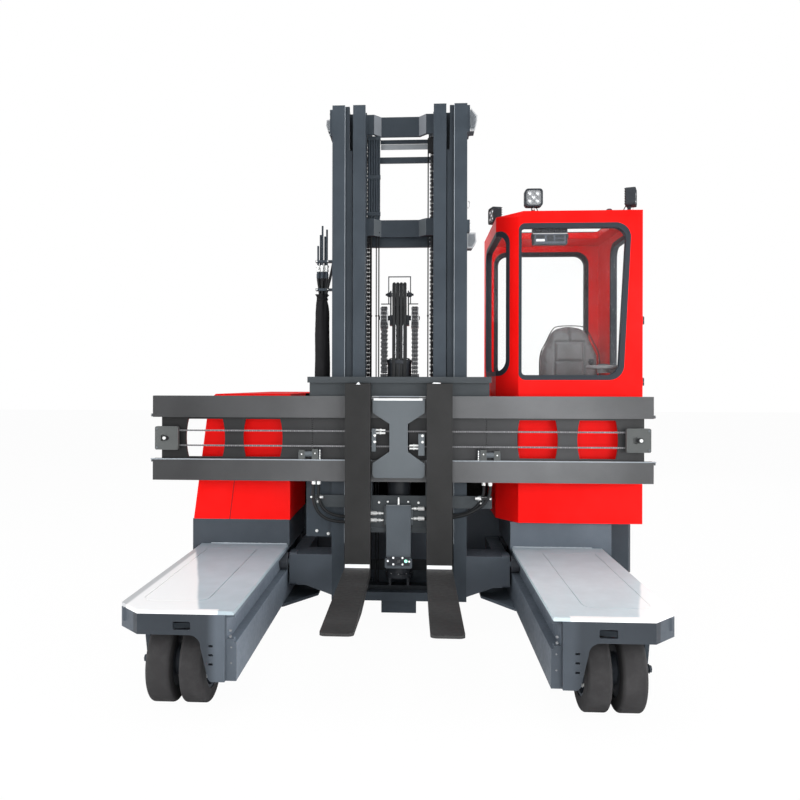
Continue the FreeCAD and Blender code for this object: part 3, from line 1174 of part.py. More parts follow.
def fork(side):
    """Fork: shank with its two hooks, rounded heel and tapered blade."""
    x0, x1 = side * FORK_X - FORK_WIDTH / 2, side * FORK_X + FORK_WIDTH / 2
    face = BAR_FRONT - RUN_GAP - FORK_THICK
    back = BAR_FRONT - RUN_GAP
    heel = BLADE_TOP - FORK_THICK
    r = 60.0
    k = r * (1 - math.sqrt(0.5))
    tip = BLADE_TIP

    def p(y, z):
        return V(x0, y, z)
    edges = [Part.LineSegment(p(face, FORK_TOP), p(face, BLADE_TOP)).toShape(),
             Part.LineSegment(p(face, BLADE_TOP), p(tip, BLADE_TOP)).toShape(),
             Part.LineSegment(p(tip, BLADE_TOP), p(tip, BLADE_TOP - 12)).toShape(),
             Part.LineSegment(p(tip, BLADE_TOP - 12), p(tip + 500, heel)).toShape(),
             Part.LineSegment(p(tip + 500, heel), p(back - r, heel)).toShape(),
             Part.Arc(p(back - r, heel), p(back - k, heel + k), p(back, heel + r)).toShape(),
             Part.LineSegment(p(back, heel + r), p(back, FORK_TOP)).toShape(),
             Part.LineSegment(p(back, FORK_TOP), p(face, FORK_TOP)).toShape()]
    solid = Part.Face(Part.Wire(edges)).extrude(FreeCAD.Vector(x1 - x0, 0, 0))

    def tip_corner(edge):
        return upright(edge) and abs(edge.Vertexes[0].Point.y - (FRONT + tip)) < 1.0
    solid = rounded(solid, 30.0, tip_corner)
    hook = [box(x0, x1, back, back + 24, UPPER_BAR[1] + RUN_GAP, FORK_TOP)]
    return fuse([solid] + hook)


NODES = {
    "chassis_frame": chassis_frame,
    "reach_rail_left": lambda: reach_rail(-1),
    "reach_rail_right": lambda: reach_rail(1),
    "arm_left": lambda: arm(-1),
    "arm_right": lambda: arm(1),
    "platform_left": lambda: platform(-1),
    "platform_right": lambda: platform(1),
    "front_yoke_left": lambda: front_yoke(-1),
    "front_yoke_right": lambda: front_yoke(1),
    "front_hub_left": lambda: front_hub(-1),
    "front_hub_right": lambda: front_hub(1),
    "front_tyres_left": lambda: front_tyres(-1),
    "front_tyres_right": lambda: front_tyres(1),
    "drive_unit": drive_unit,
    "drive_hub": drive_hub,
    "drive_tyres": drive_tyres,
    "hood_left": hood_left,
    "hood_rear": hood_rear,
    "battery_lid": battery_lid,
    "battery": battery,
    "boarding_step": boarding_step,
    "cab_floor": cab_floor,
    "cab_front": cab_front,
    "cab_side": cab_side,
    "cab_rear": cab_rear,
    "cab_roof": cab_roof,
    "cab_seals": cab_seals,
    "cab_glass": cab_glass,
    "cab_console": cab_console,
    "door_panel": door_panel,
    "door_seal": door_seal,
    "door_glass": door_glass,
    "seat": seat,
    "seat_base": seat_base,
    "steering_gear": steering_gear,
    "work_lamps": work_lamps,
    "mast_outer": mast_outer,
    "mast_middle": mast_middle,
    "mast_inner": mast_inner,
    "lift_cylinders": lift_cylinders,
    "lift_rods": lift_rods,
    "free_lift_cylinder": free_lift_cylinder,
    "free_lift_rod": free_lift_rod,
    "crosshead": crosshead,
    "lift_chains": lift_chains,
    "anchor_chains": anchor_chains,
    "stage_chains": stage_chains,
    "sheaves": sheaves,
    "reach_frame": reach_frame,
    "reach_rollers": reach_rollers,
    "carriage_bars": carriage_bars,
    "carriage_frame": carriage_frame,
    "carriage_rollers": carriage_rollers,
    "centre_plate": centre_plate,
    "positioner_chains": positioner_chains,
    "positioner_blocks": positioner_blocks,
    "camera_box": camera_box,
    "mast_hoses": mast_hoses,
    "fork_left": lambda: fork(-1),
    "fork_right": lambda: fork(1),
}

os.makedirs("parts", exist_ok=True)
for name, make in NODES.items():
    make().exportStep("parts/" + name + ".step")
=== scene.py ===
import json
import math
import random
import bpy
from mathutils import Matrix, Vector


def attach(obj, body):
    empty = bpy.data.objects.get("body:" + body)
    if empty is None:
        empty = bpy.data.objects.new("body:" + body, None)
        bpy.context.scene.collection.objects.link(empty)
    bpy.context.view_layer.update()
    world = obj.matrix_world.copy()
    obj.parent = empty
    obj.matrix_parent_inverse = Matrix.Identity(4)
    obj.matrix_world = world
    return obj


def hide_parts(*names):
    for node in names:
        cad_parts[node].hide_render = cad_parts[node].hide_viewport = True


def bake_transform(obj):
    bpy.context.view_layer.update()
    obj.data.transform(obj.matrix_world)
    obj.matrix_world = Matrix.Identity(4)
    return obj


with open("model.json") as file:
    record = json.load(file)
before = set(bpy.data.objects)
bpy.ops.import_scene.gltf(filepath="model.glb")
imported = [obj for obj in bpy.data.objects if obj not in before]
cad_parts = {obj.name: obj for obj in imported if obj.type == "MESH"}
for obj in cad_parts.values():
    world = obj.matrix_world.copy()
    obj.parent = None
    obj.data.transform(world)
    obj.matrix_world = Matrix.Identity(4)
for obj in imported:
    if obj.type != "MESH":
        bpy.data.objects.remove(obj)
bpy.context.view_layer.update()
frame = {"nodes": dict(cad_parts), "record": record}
random.seed(7)
FRONT = -1.650
UP = (0, 0, 1)
FORE = (0, -1, 0)
SIDES = (-1, 1)
SIDE_WORDS = ((-1, "left"), (1, "right"))
CARRIAGE = "fork_carriage"


def P(x, y, z):
    """A point given in mm, y counted from the arm fronts, as metres in the shared frame."""
    return Vector((x / 1000, FRONT + y / 1000, z / 1000))


# Node trees

class Tree:
    """A node tree whose inputs are fed with values or with other nodes' outputs."""

    def __init__(self, tree):
        self.nodes, self.links = tree.nodes, tree.links

    def feed(self, node, inputs):
        for key, value in inputs.items():
            socket = node.inputs[key]
            if hasattr(value, "is_output"):
                self.links.new(value, socket)
            else:
                socket.default_value = (*value, 1) if socket.type == "RGBA" else value

    def node(self, kind, inputs, output=0, **settings):
        """Adds a node and gives one of its outputs."""
        node = self.nodes.new("ShaderNode" + kind)
        for name, value in settings.items():
            setattr(node, name, value)
        self.feed(node, inputs)
        return node.outputs[output]

    def show(self, output, factor, first, second):
        """Shows a mix of two shaders."""
        both = self.node("MixShader", {0: factor, 1: first, 2: second})
        self.feed(self.nodes[output], {"Surface": both})


class Look(Tree):
    """A material round one principled shader."""

    def __init__(self):
        self.mat = bpy.data.materials.new("look")
        self.mat.use_nodes = True
        super().__init__(self.mat.node_tree)
        self.shader = self.nodes["Principled BSDF"]

    def surface(self, inputs):
        self.feed(self.shader, inputs)
        return self

    def noise(self, scale, detail=4.0, rough=0.55, stretch=(1, 1, 1)):
        """Noise in object metres, stretched along the axes."""
        place = self.node("Mapping", {"Vector": self.node("TexCoord", {}, "Object"), "Scale": stretch})
        return self.node("TexNoise", {"Vector": place, "Scale": scale, "Detail": detail, "Roughness": rough})

    def ramp(self, value, stops):
        """Ramp over value; each stop is a place and a grey or a colour."""
        node = self.nodes.new("ShaderNodeValToRGB")
        elements = node.color_ramp.elements
        elements[0].position, elements[1].position = stops[0][0], stops[-1][0]
        for place, tone in stops[1:-1]:
            elements.new(place)
        for element, (place, tone) in zip(elements, stops):
            element.color = (*tone, 1) if isinstance(tone, (tuple, list)) else (tone, tone, tone, 1)
        self.feed(node, {"Fac": value})
        return node.outputs["Color"]

    def mix(self, a, b, factor=1.0, kind="MULTIPLY"):
        return self.node("Mix", {0: factor, 6: a, 7: b}, 2, data_type="RGBA", blend_type=kind)

    def bump(self, height, strength, distance):
        normal = self.node("Bump", {"Height": height, "Strength": strength, "Distance": distance})
        return self.surface({"Normal": normal})

    def sharp_edges(self, radius):
        """1 along sharp edges: how far a rounded normal turns from the true one."""
        rounded = self.node("Bevel", {"Radius": radius}, samples=4)
        plain = self.node("NewGeometry", {}, "Normal")
        turn = self.node("VectorMath", {0: rounded, 1: plain}, "Value", operation="DOT_PRODUCT")
        return self.ramp(turn, [(0.80, 1), (0.985, 0)])

    def split(self, kind, output):
        """X, Y and Z of a node's output."""
        split = self.nodes.new("ShaderNodeSeparateXYZ")
        self.feed(split, {0: self.node(kind, {}, output)})
        return split.outputs

    def toned(self, axis, low, high, stops):
        """Multiplies the colour by a ramp of tones between two places on an axis."""
        plain = self.shader.inputs["Base Color"].links[0].from_socket
        place = self.split("TexCoord", "Object")[axis]
        along = self.node("MapRange", {"Value": place, "From Min": low, "From Max": high}, "Result")
        return self.surface({"Base Color": self.mix(plain, self.ramp(along, stops))})


# Materials

GREY = (0.036, 0.046, 0.057)
RED = (0.82, 0.005, 0.004)
# Lighter red of the red paint's edges: partly rubbed wear, partly a painted edge highlight.
RED_EDGE_WEAR_AND_HIGHLIGHT = (0.95, 0.06, 0.04)
ARM_GREY = (0.060, 0.072, 0.087)
# Painted shade and light of the deck: darker toward the rear, the right deck lighter than the left, and a
# grey outer strip inside the painted reflection.
DECK_REAR = (0.26, 0.30, 0.33)
DECK_FRONT = (0.40, 0.46, 0.49)
DECK_LEFT = (1.0, 1.04, 1.06)
DECK_RIGHT = (1.25, 1.28, 1.27)
DECK_RIM = (0.46, 0.47, 0.48)
EDGE_RADIUS = 0.0035


def paint(colour, rough=0.42, edge_wear_and_highlight=0.45, grain=0.10, edge=None, shine=0.14, peel=0.08):
    """Sprayed enamel: mottled colour, orange peel, and edges lighter in patches, partly as rubbed wear and
    partly as a painted edge highlight.
    """
    look = Look()
    dark = [c * (1 - grain) for c in colour]
    light = [min(1, c * (1 + grain) + 0.004) for c in colour]
    base = look.ramp(look.noise(3.0, 5.0), [(0.35, dark), (0.65, light)])
    fine = look.ramp(look.noise(900.0, 2.0), [(0.40, 1 - peel * 0.8), (0.60, 1 + peel * 0.7)])
    base = look.mix(base, fine)
    # Edges made lighter in patches: partly rubbed wear, partly a painted edge highlight.
    if edge_wear_and_highlight > 0:
        patch = look.ramp(look.noise(22.0, 3.0), [(0.35, 0.25), (0.65, 1)])
        amount = look.mix(look.mix(look.sharp_edges(EDGE_RADIUS), patch), (edge_wear_and_highlight, edge_wear_and_highlight, edge_wear_and_highlight))
        base = look.mix(base, edge or [min(1, c * 2.1 + 0.05) for c in colour], amount, "MIX")
    gloss = look.ramp(look.noise(40.0, 4.0), [(0.3, rough - 0.06), (0.7, rough + 0.08)])
    look.surface({"Base Color": base, "Roughness": gloss, "Specular IOR Level": shine})
    return look.bump(look.noise(260.0, 2.0), peel, 0.0006)


def metal(colour, rough=0.3, metallic=1.0, brushed=(1, 1, 1)):
    """Bare or plated metal with fine turning or grinding marks."""
    look = Look()
    marks = look.noise(60.0, 6.0, 0.6, brushed)
    base = look.ramp(marks, [(0.3, [c * 0.82 for c in colour]), (0.7, [min(1, c * 1.1) for c in colour])])
    gloss = look.ramp(marks, [(0.3, rough + 0.1), (0.7, rough - 0.05)])
    look.surface({"Base Color": base, "Roughness": gloss, "Metallic": metallic})
    return look.bump(marks, 0.10, 0.0003)


def rubber(colour, rough=0.7, dusty=0.25):
    """Moulded rubber with dust in patches and a fine skin."""
    look = Look()
    dust = look.ramp(look.noise(14.0, 7.0, 0.65), [(0.45, 0), (0.75, dusty)])
    base = look.mix(colour, [c * 2.2 + 0.015 for c in colour], dust, "MIX")
    look.surface({"Base Color": base, "Roughness": rough, "Specular IOR Level": 0.22})
    return look.bump(look.noise(420.0, 4.0), 0.18, 0.0008)


def clear_glass(tint=(0.995, 0.998, 0.998), film=0.012):
    """Pane seen as a clear sheet with a soft reflection."""
    look = Look().surface({"Base Color": tint, "Roughness": 0.03, "IOR": 1.45})
    through = look.node("BsdfTransparent", {"Color": tint})
    smear = look.ramp(look.noise(2.2, 4.0), [(0.40, film * 0.5), (0.65, film * 1.6)])
    look.show("Material Output", smear, through, look.shader.outputs["BSDF"])
    return look


def glow(colour, strength):
    return Look().surface({"Base Color": colour, "Emission Color": colour, "Emission Strength": strength,
                           "Roughness": 0.2})


def deck_paint():
    """Smooth pale deck enamel with painted light: a painted reflection in white along its front lip and its
    outer side, painted shade darker toward the rear, and the right deck lighter than the left.
    """
    look = Look()
    x, y, _ = look.split("NewGeometry", "Position")

    def line(value, factor, add):
        return look.node("Math", {0: value, 1: factor, 2: add}, operation="MULTIPLY_ADD")

    def size(value):
        return look.node("Math", {0: value}, operation="ABSOLUTE")

    lean = line(y, -0.30, size(line(x, 1.0, -0.10)))
    # Painted reflection: white along the deck's outer side and along its front lip.
    outer = look.ramp(line(look.noise(3.0, 2.0), 0.02, line(lean, 1.0, -0.94)), [(0.494, 0), (0.506, 1)])
    lip = look.ramp(line(y, -1.0, -1.12), [(0.500, 0), (0.506, 1)])
    lip = look.mix(lip, look.ramp(size(x), [(0.750, 0), (0.756, 1)]))
    painted_reflection = look.mix(outer, lip, 1.0, "LIGHTEN")
    # Painted shade darker toward the rear, and painted light making the right deck lighter than the left.
    grey = look.ramp(line(y, -0.5, 0.0), [(0.15, DECK_REAR), (0.55, DECK_FRONT)])
    grey = look.mix(grey, look.ramp(look.noise(9.0, 5.0, 0.6), [(0.40, 0.96), (0.65, 1.03)]))
    grey = look.mix(grey, look.ramp(line(x, 0.5, 0.5), [(0.45, DECK_LEFT), (0.55, DECK_RIGHT)]))
    rim = look.ramp(line(x, 1.0, 1.68), [(0.490, DECK_RIM), (0.502, 0.82)])
    base = look.mix(grey, rim, painted_reflection, "MIX")
    look.surface({"Base Color": base, "Roughness": 0.40, "Specular IOR Level": 0.14})
    return look.bump(look.noise(320.0, 3.0), 0.03, 0.0003)


def bar_paint():
    """Grey enamel of the long bars, with painted light making them lighter toward their right half and
    painted shade behind their front faces.
    """
    web = FRONT + 1.284
    look = paint((0.12, 0.122, 0.126), 0.40, 0.40, 0.08)
    # Painted light: lighter toward the right half.
    look.toned("X", -1.6, 1.6, [(0.10, 0.34), (0.36, 0.68), (0.78, 1.07), (0.94, 0.62)])
    # Painted shade: darker behind the front faces.
    return look.toned("Y", web - 0.1, web + 0.1, [(0.49, 1.0), (0.51, 0.42)])


def arm_paint():
    """Grey of the load arms, with painted shade on the front plates and painted light on the inner sides."""
    look = paint(ARM_GREY)
    painted_light_inner_sides = [(0.12, 2.4), (0.49, 2.4), (0.51, 1.6), (0.88, 1.6)]
    look.toned("X", -1.0, 1.0, [(0.10, 1.0)] + painted_light_inner_sides + [(0.90, 1.0)])
    # Painted shade: the front plates darker.
    return look.toned("Y", FRONT - 0.1, FRONT + 0.15, [(0.49, 0.55), (0.51, 1.0)])


def fork_paint():
    """Black of the forks, dusty toward their blades."""
    return paint((0.023, 0.023, 0.023), 0.46, 0.25).toned("Z", 0.30, 0.50, [(0.50, 1.5), (0.56, 0.92)])


def red_paint():
    return paint(RED, 0.40, 0.10, 0.02, RED_EDGE_WEAR_AND_HIGHLIGHT, 0.05, 0.012)


def bulkhead_red():
    """Red hood whose wall behind the mast is painted black, as painted shade."""
    wall = FRONT + 2.046
    return red_paint().toned("Y", wall - 0.1, wall + 0.1, [(0.499, 0.0), (0.501, 1.0)])


def vinyl(colour):
    """Seat vinyl: leather grain, lighter where it is stretched."""
    look = Look()
    place = look.node("TexCoord", {}, "Object")
    cells = look.node("TexVoronoi", {"Vector": place, "Scale": 340.0}, "Distance")
    tones = [(0.35, [c * 0.85 for c in colour]), (0.7, [c * 1.25 for c in colour])]
    base = look.ramp(look.noise(9.0, 5.0), tones)
    look.surface({"Base Color": base, "Roughness": 0.52, "Sheen Weight": 0.15})
    return look.bump(cells, 0.35, 0.0009)


LOOKS = {
    "truck_grey": paint(GREY),
    # Painted shade: inner and middle stages darker toward their lower ends.
    "stage_grey": paint(GREY).toned("Z", 0.30, 0.90, [(0.40, 0.30), (0.80, 1.0)]),
    "bar_grey": bar_paint(),
    "arm_grey": arm_paint(),
    # Painted light: chassis wall darker on its left and lighter on its right.
    "wall_grey": paint(ARM_GREY).toned("X", -1.0, 1.0, [(0.40, 0.80), (0.60, 1.55)]),
    "block_grey": paint((0.078, 0.083, 0.082), 0.45, 0.40, 0.08),
    "cover_grey": paint((0.068, 0.080, 0.092), 0.42, 0.35),
    "roller_grey": paint((0.045, 0.050, 0.058), 0.32, 0.30, 0.05),
    "wheel_grey": rubber((0.16, 0.162, 0.168), 0.5, 0.1),
    "reach_grey": paint(ARM_GREY),
    "frame_grey": paint((0.046, 0.053, 0.058), 0.42, 0.40),
    "plate_grey": paint((0.099, 0.112, 0.122), 0.42, 0.50, 0.06),
    "cover_red": red_paint(),
    "deck_plate": deck_paint(),
    "fork_black": fork_paint(),
    "tyre_rubber": rubber((0.030, 0.029, 0.030), 0.75, 0.30),
    "rim_grey": paint((0.045, 0.053, 0.064), 0.45, 0.35),
    "window_glass": clear_glass(),
    "seal_rubber": rubber((0.018, 0.024, 0.032), 0.55, 0.05),
    "seat_cover": vinyl((0.145, 0.155, 0.16)),
    "black_plastic": paint((0.030, 0.034, 0.040), 0.50, 0.20),
    "bright_steel": metal((0.50, 0.51, 0.52), 0.30, 0.6, (1, 1, 8)),
    "rod_chrome": metal((0.75, 0.76, 0.78), 0.10, 1.0, (40, 40, 1)),
    "cylinder_black": paint((0.022, 0.025, 0.030), 0.36, 0.30),
    "chain_steel": metal((0.055, 0.056, 0.060), 0.42, 0.75),
    "chain_pin": metal((0.42, 0.42, 0.43), 0.35, 0.2),
    "hose_black": rubber((0.010, 0.011, 0.012), 0.55, 0.10),
    "sleeve": rubber((0.008, 0.008, 0.009), 0.90, 0.15),
    "zinc": metal((0.72, 0.73, 0.72), 0.33, 0.5),
    "battery_case": paint((0.045, 0.047, 0.05), 0.55, 0.15),
    "lamp_lens": clear_glass((0.55, 0.57, 0.59), 0.16),
    "lamp_mirror": metal((0.34, 0.35, 0.36), 0.25, 0.5),
    "led": glow((0.80, 0.82, 0.84), 0.35),
    "led_green": glow((0.35, 0.95, 0.70), 1.2),
    "screen": glow((0.07, 0.08, 0.10), 0.3),
    "hood_rear": bulkhead_red(),
    "chain_light": metal((0.22, 0.22, 0.23), 0.40, 0.3),
    "bolt_grey": metal((0.20, 0.21, 0.22), 0.38, 0.4),
    "pale_cap": paint((0.42, 0.43, 0.44), 0.5, 0.1, 0.05),
    "edge_light": paint((0.30, 0.33, 0.36), 0.5, 0.0, 0.15),
    "white_edge": paint((0.80, 0.81, 0.82), 0.35, 0.0, 0.04),
    "edge_soft": paint((0.20, 0.215, 0.235), 0.45, 0.0, 0.08),
    "light_strut": paint((0.30, 0.32, 0.34), 0.40, 0.0, 0.06),
}
for name, look in LOOKS.items():
    look.mat.name = name
OWN_LOOKS = {
    "plate_grey": ["centre_plate"], "block_grey": ["positioner_blocks"], "hood_rear": ["hood_rear"],
    "frame_grey": ["carriage_frame"], "wall_grey": ["chassis_frame"], "reach_grey": ["reach_frame"],
    "arm_grey": ["arm_left", "arm_right", "reach_rail_left", "reach_rail_right"],
    "cover_grey": ["camera_box"], "roller_grey": ["reach_rollers"], "wheel_grey": ["steering_gear"],
    "stage_grey": ["mast_inner", "mast_middle"],
}
look_of = {entry["node"]: entry["material_slot"] for entry in frame["record"]["subparts"]}
look_of.update((node, look) for look, nodes in OWN_LOOKS.items() for node in nodes)
for node, obj in frame["nodes"].items():
    obj.data.materials.clear()
    obj.data.materials.append(LOOKS[look_of[node]].mat)


# Mesh pieces

def basis(axis):
    """Two unit vectors square to axis, and its own."""
    w = Vector(axis).normalized()
    u = w.orthogonal().normalized()
    return u, w.cross(u), w


def around(count, start=0.0, sweep=2 * math.pi):
    """Cosine and sine at count even steps of a sweep."""
    angles = [start + sweep * k / count for k in range(count)]
    return [(math.cos(a), math.sin(a)) for a in angles]


def skin(rows, count, closed=False):
    """Quads between rows of count points, each row a closed loop."""
    quads = []
    for i in range(rows if closed else rows - 1):
        j = (i + 1) % rows
        for k in range(count):
            n = (k + 1) % count
            quads.append((i * count + k, i * count + n, j * count + n, j * count + k))
    return quads


class Shape:
    """Collects faces from many small solids into one named piece with several materials."""

    def __init__(self, name, body, *mats):
        self.name, self.body, self.mats = name, body, mats
        self.verts, self.faces, self.kind, self.smooth = [], [], [], []

    def add(self, verts, faces, mat=0, smooth=False):
        base = len(self.verts)
        self.verts += [tuple(v) for v in verts]
        self.faces += [[base + i for i in face] for face in faces]
        self.kind += [mat] * len(faces)
        self.smooth += [smooth] * len(faces)

    def box(self, x0, x1, y0, y1, z0, z1, mat=0):
        a, b = P(min(x0, x1), y0, z0), P(max(x0, x1), y1, z1)
        corners = [(x, y, z) for x in (a.x, b.x) for y in (a.y, b.y) for z in (a.z, b.z)]
        walls = [(0, 1, 3, 2), (4, 6, 7, 5), (0, 4, 5, 1), (2, 3, 7, 6), (0, 2, 6, 4), (1, 5, 7, 3)]
        self.add(corners, walls, mat)

    def loft(self, verts, count, mat=0, smooth=True):
        """Skin over rows of count points, with flat ends."""
        self.add(verts, skin(len(verts) // count, count), mat, smooth)
        self.add(verts[:count], [list(range(count))[::-1]], mat)
        self.add(verts[-count:], [list(range(count))], mat)

    def turned(self, start, axis, profile, mat=0, count=24, smooth=True):
        """Round solid along axis from start: profile is a list of (distance, radius)."""
        u, v, w = basis(axis)
        verts = []
        for d, r in profile:
            verts += [start + w * (d / 1000) + (u * c + v * s) * (r / 1000) for c, s in around(count)]
        self.loft(verts, count, mat, smooth)

    def peg(self, at, axis, r, length, mat=0, count=16, smooth=True):
        self.turned(at, axis, [(0, r), (length, r)], mat, count, smooth)

    def rod(self, a, b, r, mat=0, count=16):
        self.peg(a, b - a, r, (b - a).length * 1000, mat, count)

    def bolt(self, at, size, high, mat=0, axis=FORE, washer=True):
        """Hexagon bolt head with a chamfered top and a washer."""
        if washer:
            self.turned(at, axis, [(0, size * 1.05), (1.6, size * 1.05), (1.6, size * 0.6)], mat, 20)
        head = [(1.0, size * 0.88), (high * 0.85, size * 0.88), (high, size * 0.72)]
        self.turned(at, axis, head, mat, 6, False)

    def prism(self, outline, across, d0, d1, mat=0):
        """Outline in mm across axis "x" (y, z), "y" (x, z) or "z" (x, y), from d0 to d1."""
        place = {"x": lambda a, b, d: P(d, a, b), "y": lambda a, b, d: P(a, d, b), "z": P}[across]
        n = len(outline)
        verts = [place(a, b, d) for d in (d0, d1) for a, b in outline]
        self.add(verts, [list(range(n))[::-1], [n + i for i in range(n)]] + skin(2, n), mat)

    def tube(self, points, r, mat=0, count=10):
        """Tube through points in metres."""
        verts = []
        for i, p in enumerate(points):
            t = (points[min(i + 1, len(points) - 1)] - points[max(i - 1, 0)]).normalized()
            u = t.orthogonal().normalized() if i == 0 else (u - t * u.dot(t)).normalized()
            v = t.cross(u)
            verts += [p + (u * c + v * s) * (r / 1000) for c, s in around(count)]
        self.loft(verts, count, mat)

    def ring(self, centre, axis, radius, r, mat=0, count=28, sides=10):
        u, v, w = basis(axis)
        verts = []
        for c, s in around(count):
            out = u * c + v * s
            for a, b in around(sides):
                verts.append(centre + out * ((radius + r * a) / 1000) + w * (r * b / 1000))
        self.add(verts, skin(count, sides, True), mat, True)

    def done(self, bevel=0.0, ride=True):
        mesh = bpy.data.meshes.new(self.name)
        mesh.from_pydata(self.verts, [], self.faces)
        for i, polygon in enumerate(mesh.polygons):
            polygon.material_index = self.kind[i]
            polygon.use_smooth = self.smooth[i]
        for mat in self.mats:
            mesh.materials.append(LOOKS[mat].mat)
        mesh.validate()
        mesh.update()
        obj = placed(self.name, mesh)
        if bevel:
            cut = obj.modifiers.new("edges", "BEVEL")
            cut.width = bevel / 1000
            cut.segments = 2
            cut.limit_method = "ANGLE"
        if ride:
            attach(obj, self.body)
        return obj


def placed(name, data):
    """An object in the scene."""
    obj = bpy.data.objects.new(name, data)
    bpy.context.scene.collection.objects.link(obj)
    return obj


def smooth_path(points, per=6):
    """Points along a smooth curve through the given ones (in metres)."""
    out = []
    for i in range(len(points) - 1):
        a, b, c = points[max(i - 1, 0)], points[i], points[i + 1]
        d = points[min(i + 2, len(points) - 1)]
        for k in range(per):
            t = k / per
            square = (2 * a - 5 * b + 4 * c - d) * t * t
            out.append(0.5 * ((2 * b) + (c - a) * t + square + (3 * b - a - 3 * c + d) * t ** 3))
    return out + [points[-1]]


# Dimensions that the pieces share with the solids, in mm
FREE_Y = 1445.0
SHEAVE_X = 94.0
SHEAVE_Z = 1883.5
SHEAVE_R = 66.0
PULLEY_Z = 2027.0
PULLEY_R = 68.0
PULLEYS_X = [-32.7 + 21.8 * k for k in range(4)]
ANCHOR_Z = 1540.0
CARRIAGE_ANCHOR_Z = 1010.0
BAR_FRONT = 1272.0
PLATE_FRONT = 1230.0
CHAINS_Z = 1151
CHAIN_RUNS_Z = (1106.0, 1196.0)
BACK = 1322.0
TIE_ROOT = 1480.0
TIE_BOW = 1530.0
BUNDLE_X, BUNDLE_Y = -476, 1440
SLEEVE_LOW, SLEEVE_TOP = 892, 2030
HINGE = (1464.5, 1441)
HINGES_Z = (900, 1492, 1862)
ROOF_Z = 2521
WHEEL_X, WHEEL_Y, WHEEL_Z = 972, 265, 188
DRIVE_Y, DRIVE_Z = 2925, 200
LEAF_PITCH = 25.4
ROLLER_PITCH = 12.7


# Chains

def blend_down(piece):
    """Bakes a vertical strand's transform into its mesh."""
    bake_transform(piece)
    return piece


def leaf_chain(name, x, y, low, top, width=35):
    """Hanging leaf chain of link plates and pins."""
    part = Shape(name, None, "chain_steel", "chain_pin")
    thick = width * 0.13
    half_turn = [(math.cos(math.pi * a / 6), math.sin(math.pi * a / 6)) for a in range(7)]
    for i in range(int((top - low) / LEAF_PITCH)):
        z = top - i * LEAF_PITCH
        gaps, inset = (2, 5.0) if i % 2 else (3, 0.6)
        ends = ((10, z), (-10, z - LEAF_PITCH))
        outline = [(y + r * c, middle + r * s) for r, middle in ends for c, s in half_turn]
        for k in range(gaps + 1):
            plate = x - width / 2 + inset + k * (width - 2 * inset - thick) / gaps
            part.prism(outline, "x", plate, plate + thick)
        part.rod(P(x - width / 2 - 3, y, z), P(x + width / 2 + 3, y, z), 4.2, 1, 10)
    return blend_down(part.done(ride=False))


def roller_chain(name, x0, x1, y, z):
    """Roller chain laid along X, its plates standing in the XZ plane."""
    part = Shape(name, CARRIAGE, "chain_light", "zinc")
    width, pitch = 9, ROLLER_PITCH
    plate = [(-5, 2), (-3, 5), (1.5, 4.6), (pitch / 2, 3)]
    plate += [(pitch - a, b) for a, b in plate[2::-1]]
    count = int((x1 - x0) / pitch)
    for i in range(count + 1):
        x = x0 + i * pitch
        part.peg(P(x, y - width / 2, z), (0, 1, 0), 3.2, width, 1, 8)
        if i < count:
            out = width / 2 if i % 2 else width / 2 - 2
            outline = [(x + a, z - b) for a, b in plate] + [(x + a, z + b) for a, b in plate[::-1]]
            for side in SIDES:
                part.prism(outline, "y", y + side * out, y + side * (out - 1.5))
    return part.done()


def convex(points):
    """Convex outline round points, counter-clockwise."""
    points = sorted(set(points))
    halves = []
    for order in (points, points[::-1]):
        half = []
        for p in order:
            while len(half) >= 2 and ((half[-1][0] - half[-2][0]) * (p[1] - half[-2][1])
                                      - (half[-1][1] - half[-2][1]) * (p[0] - half[-2][0])) <= 0:
                half.pop()
            half.append(p)
        halves.append(half[:-1])
    return halves[0] + halves[1]


def mast_chains():
    """Leaf chains of the fork carriage and of the inner stage."""
    front = FREE_Y - SHEAVE_R + 7
    rear = FREE_Y + SHEAVE_R - 7
    radius = SHEAVE_R - 3

    def on_sheave(angle):
        return FREE_Y - radius * math.cos(angle), SHEAVE_Z + radius * math.sin(angle)

    for side, word in SIDE_WORDS:
        middle = side * SHEAVE_X
        leaf_chain("lift_chain_" + word, middle, front, CARRIAGE_ANCHOR_Z, SHEAVE_Z)
        leaf_chain("anchor_chain_" + word, middle, rear, ANCHOR_Z, SHEAVE_Z)
        over = Shape("chain_over_sheave_" + word, "chain_head", "chain_steel", "chain_pin")
        for k in range(8):
            y, z = on_sheave(math.pi * (k + 0.5) / 8)
            over.rod(P(middle - 20.5, y, z), P(middle + 20.5, y, z), 4.2, 1, 10)
            ends = [on_sheave(math.pi * j / 8) for j in (k, k + 1)]
            hull = convex([(a + 9 * c, b + 9 * s) for a, b in ends for c, s in around(8)])
            for x in (-17, -7.6, 3.1, 12.5) if k % 2 else (-12.5, -2.2, 8):
                over.prism(hull, "x", middle + x, middle + x + 4.5)
        over.done()
    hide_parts("lift_chains")
    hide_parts("anchor_chains")


# Fork carriage

def positioner_runs():
    """Roller chains of the fork positioner."""
    for word, z in zip(("lower", "upper"), CHAIN_RUNS_Z):
        run = roller_chain("positioner_run_" + word, -1360, 1360, 1282, z)
    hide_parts("positioner_chains")


